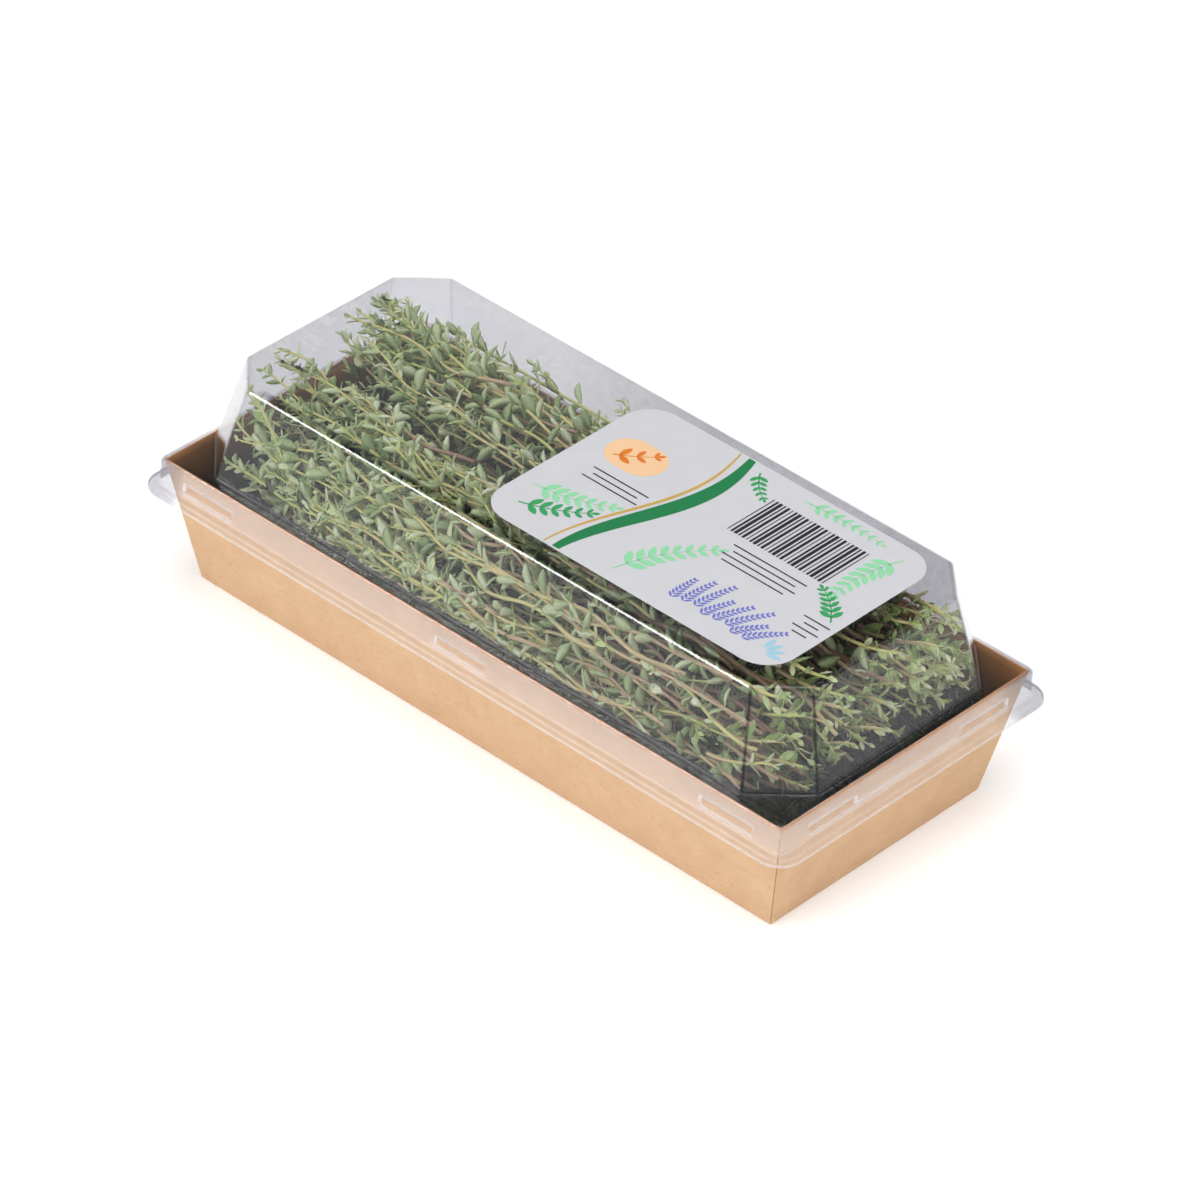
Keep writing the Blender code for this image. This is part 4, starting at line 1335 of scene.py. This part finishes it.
# %% Loose sprigs
ZONES = {
    # number of sprigs, range of the tip's x (None: anywhere), of length, of y, of z at the pack's middle,
    # and the share that lies the other way round
    "front": (22, None, (85, 185), (-43.0, -30.0), (30.0, 64.0), 0.0),
    "top": (26, None, (85, 185), (-37.0, 32.0), (52.0, 68.0), 0.0),
    "back": (10, None, (85, 160), (26.0, 42.0), (26.0, 52.0), 0.0),
    "left_end": (16, (-108.0, -98.0), (50, 90), (-42.0, 34.0), (22.0, 60.0), 0.0),
    "high_tips": (2, (-104.0, -97.0), (45, 80), (-24.0, 20.0), (64.0, 68.0), 0.0),
    "right_end": (64, None, (30, 60), (-44.0, 44.0), (14.0, 64.0), 0.5),
    "right_tips": (40, (80.0, 86.0), (22, 28), (-44.0, 44.0), (40.0, 74.0), 1.0),
    "far_tips": (7, (-108.0, -99.0), (50, 85), (4.0, 42.0), (40.0, 64.0), 0.0),
    "low_front": (14, None, (85, 175), (-46.0, -38.0), (38.0, 50.0), 0.0),
}
BUNCH = 8
CUT_END = 108.0


def loose_line(rng, tips, lengths, across, tall, reversed_share):
    """A freer line from tip to cut: x runs evenly, y and z each start in their range, drift at a small
    angle, wander, and lift a little at the tip. One that lies the other way has its tip on the right."""
    length = rng.uniform(*lengths)
    if tips is None:
        tips = (-104, CUT_END - length) if lengths[1] > 60 else (CUT_END - 1.6 * length, CUT_END - length)
    tip = rng.uniform(*tips)
    x = np.linspace(tip, tip + length, 80)
    middle = tip + length / 2
    y = rng.uniform(*across) + rng.normal(0, 0.09) * (x - middle)
    z = rng.uniform(*tall) - 0.045 * (middle + 60) + rng.normal(0, 0.04) * (x - middle)
    flip = rng.uniform() < reversed_share
    lift = rng.uniform(0, 7) * np.exp(-((x - (tip + length * flip)) / 14) ** 2)
    path = round_pile(keep_inside(wander(np.column_stack([x, y, z + lift]), 1.4, rng), 1.5))
    return path[::-1] if flip else path


loose = []
for zone, (number, *ranges) in ZONES.items():
    for _ in range(number):
        woody, bare = rng.uniform(0, 0.6), (0.0, rng.uniform(0.4, 0.9))
        line = loose_line(rng, *ranges)
        leaf, thick, tone = rng.uniform(5.6, 7.8), rng.uniform(0.42, 0.66), rng.uniform(0.3, 0.85)
        loose.append(grow_shoot(line, rng, leaf, thick, tone, (0.05 + woody / 2, 0.4 + woody), bare, 1))
for start in range(0, len(loose), BUNCH):
    parts = [part for shoot in loose[start:start + BUNCH] for part in shoot]
    bunch = dress(sprig_piece(f"loose_thyme_{start // BUNCH:02d}", parts), "thyme_green")
    print(bunch.name, "faces", len(bunch.data.polygons))

# %% [markdown]
# Last step.
#
# The size of what was made, without the floor and the cards, is printed in millimetres.

# %% Size of the pieces
low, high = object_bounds()
print("visual box mm", [round(v / MM, 1) for v in high - low])
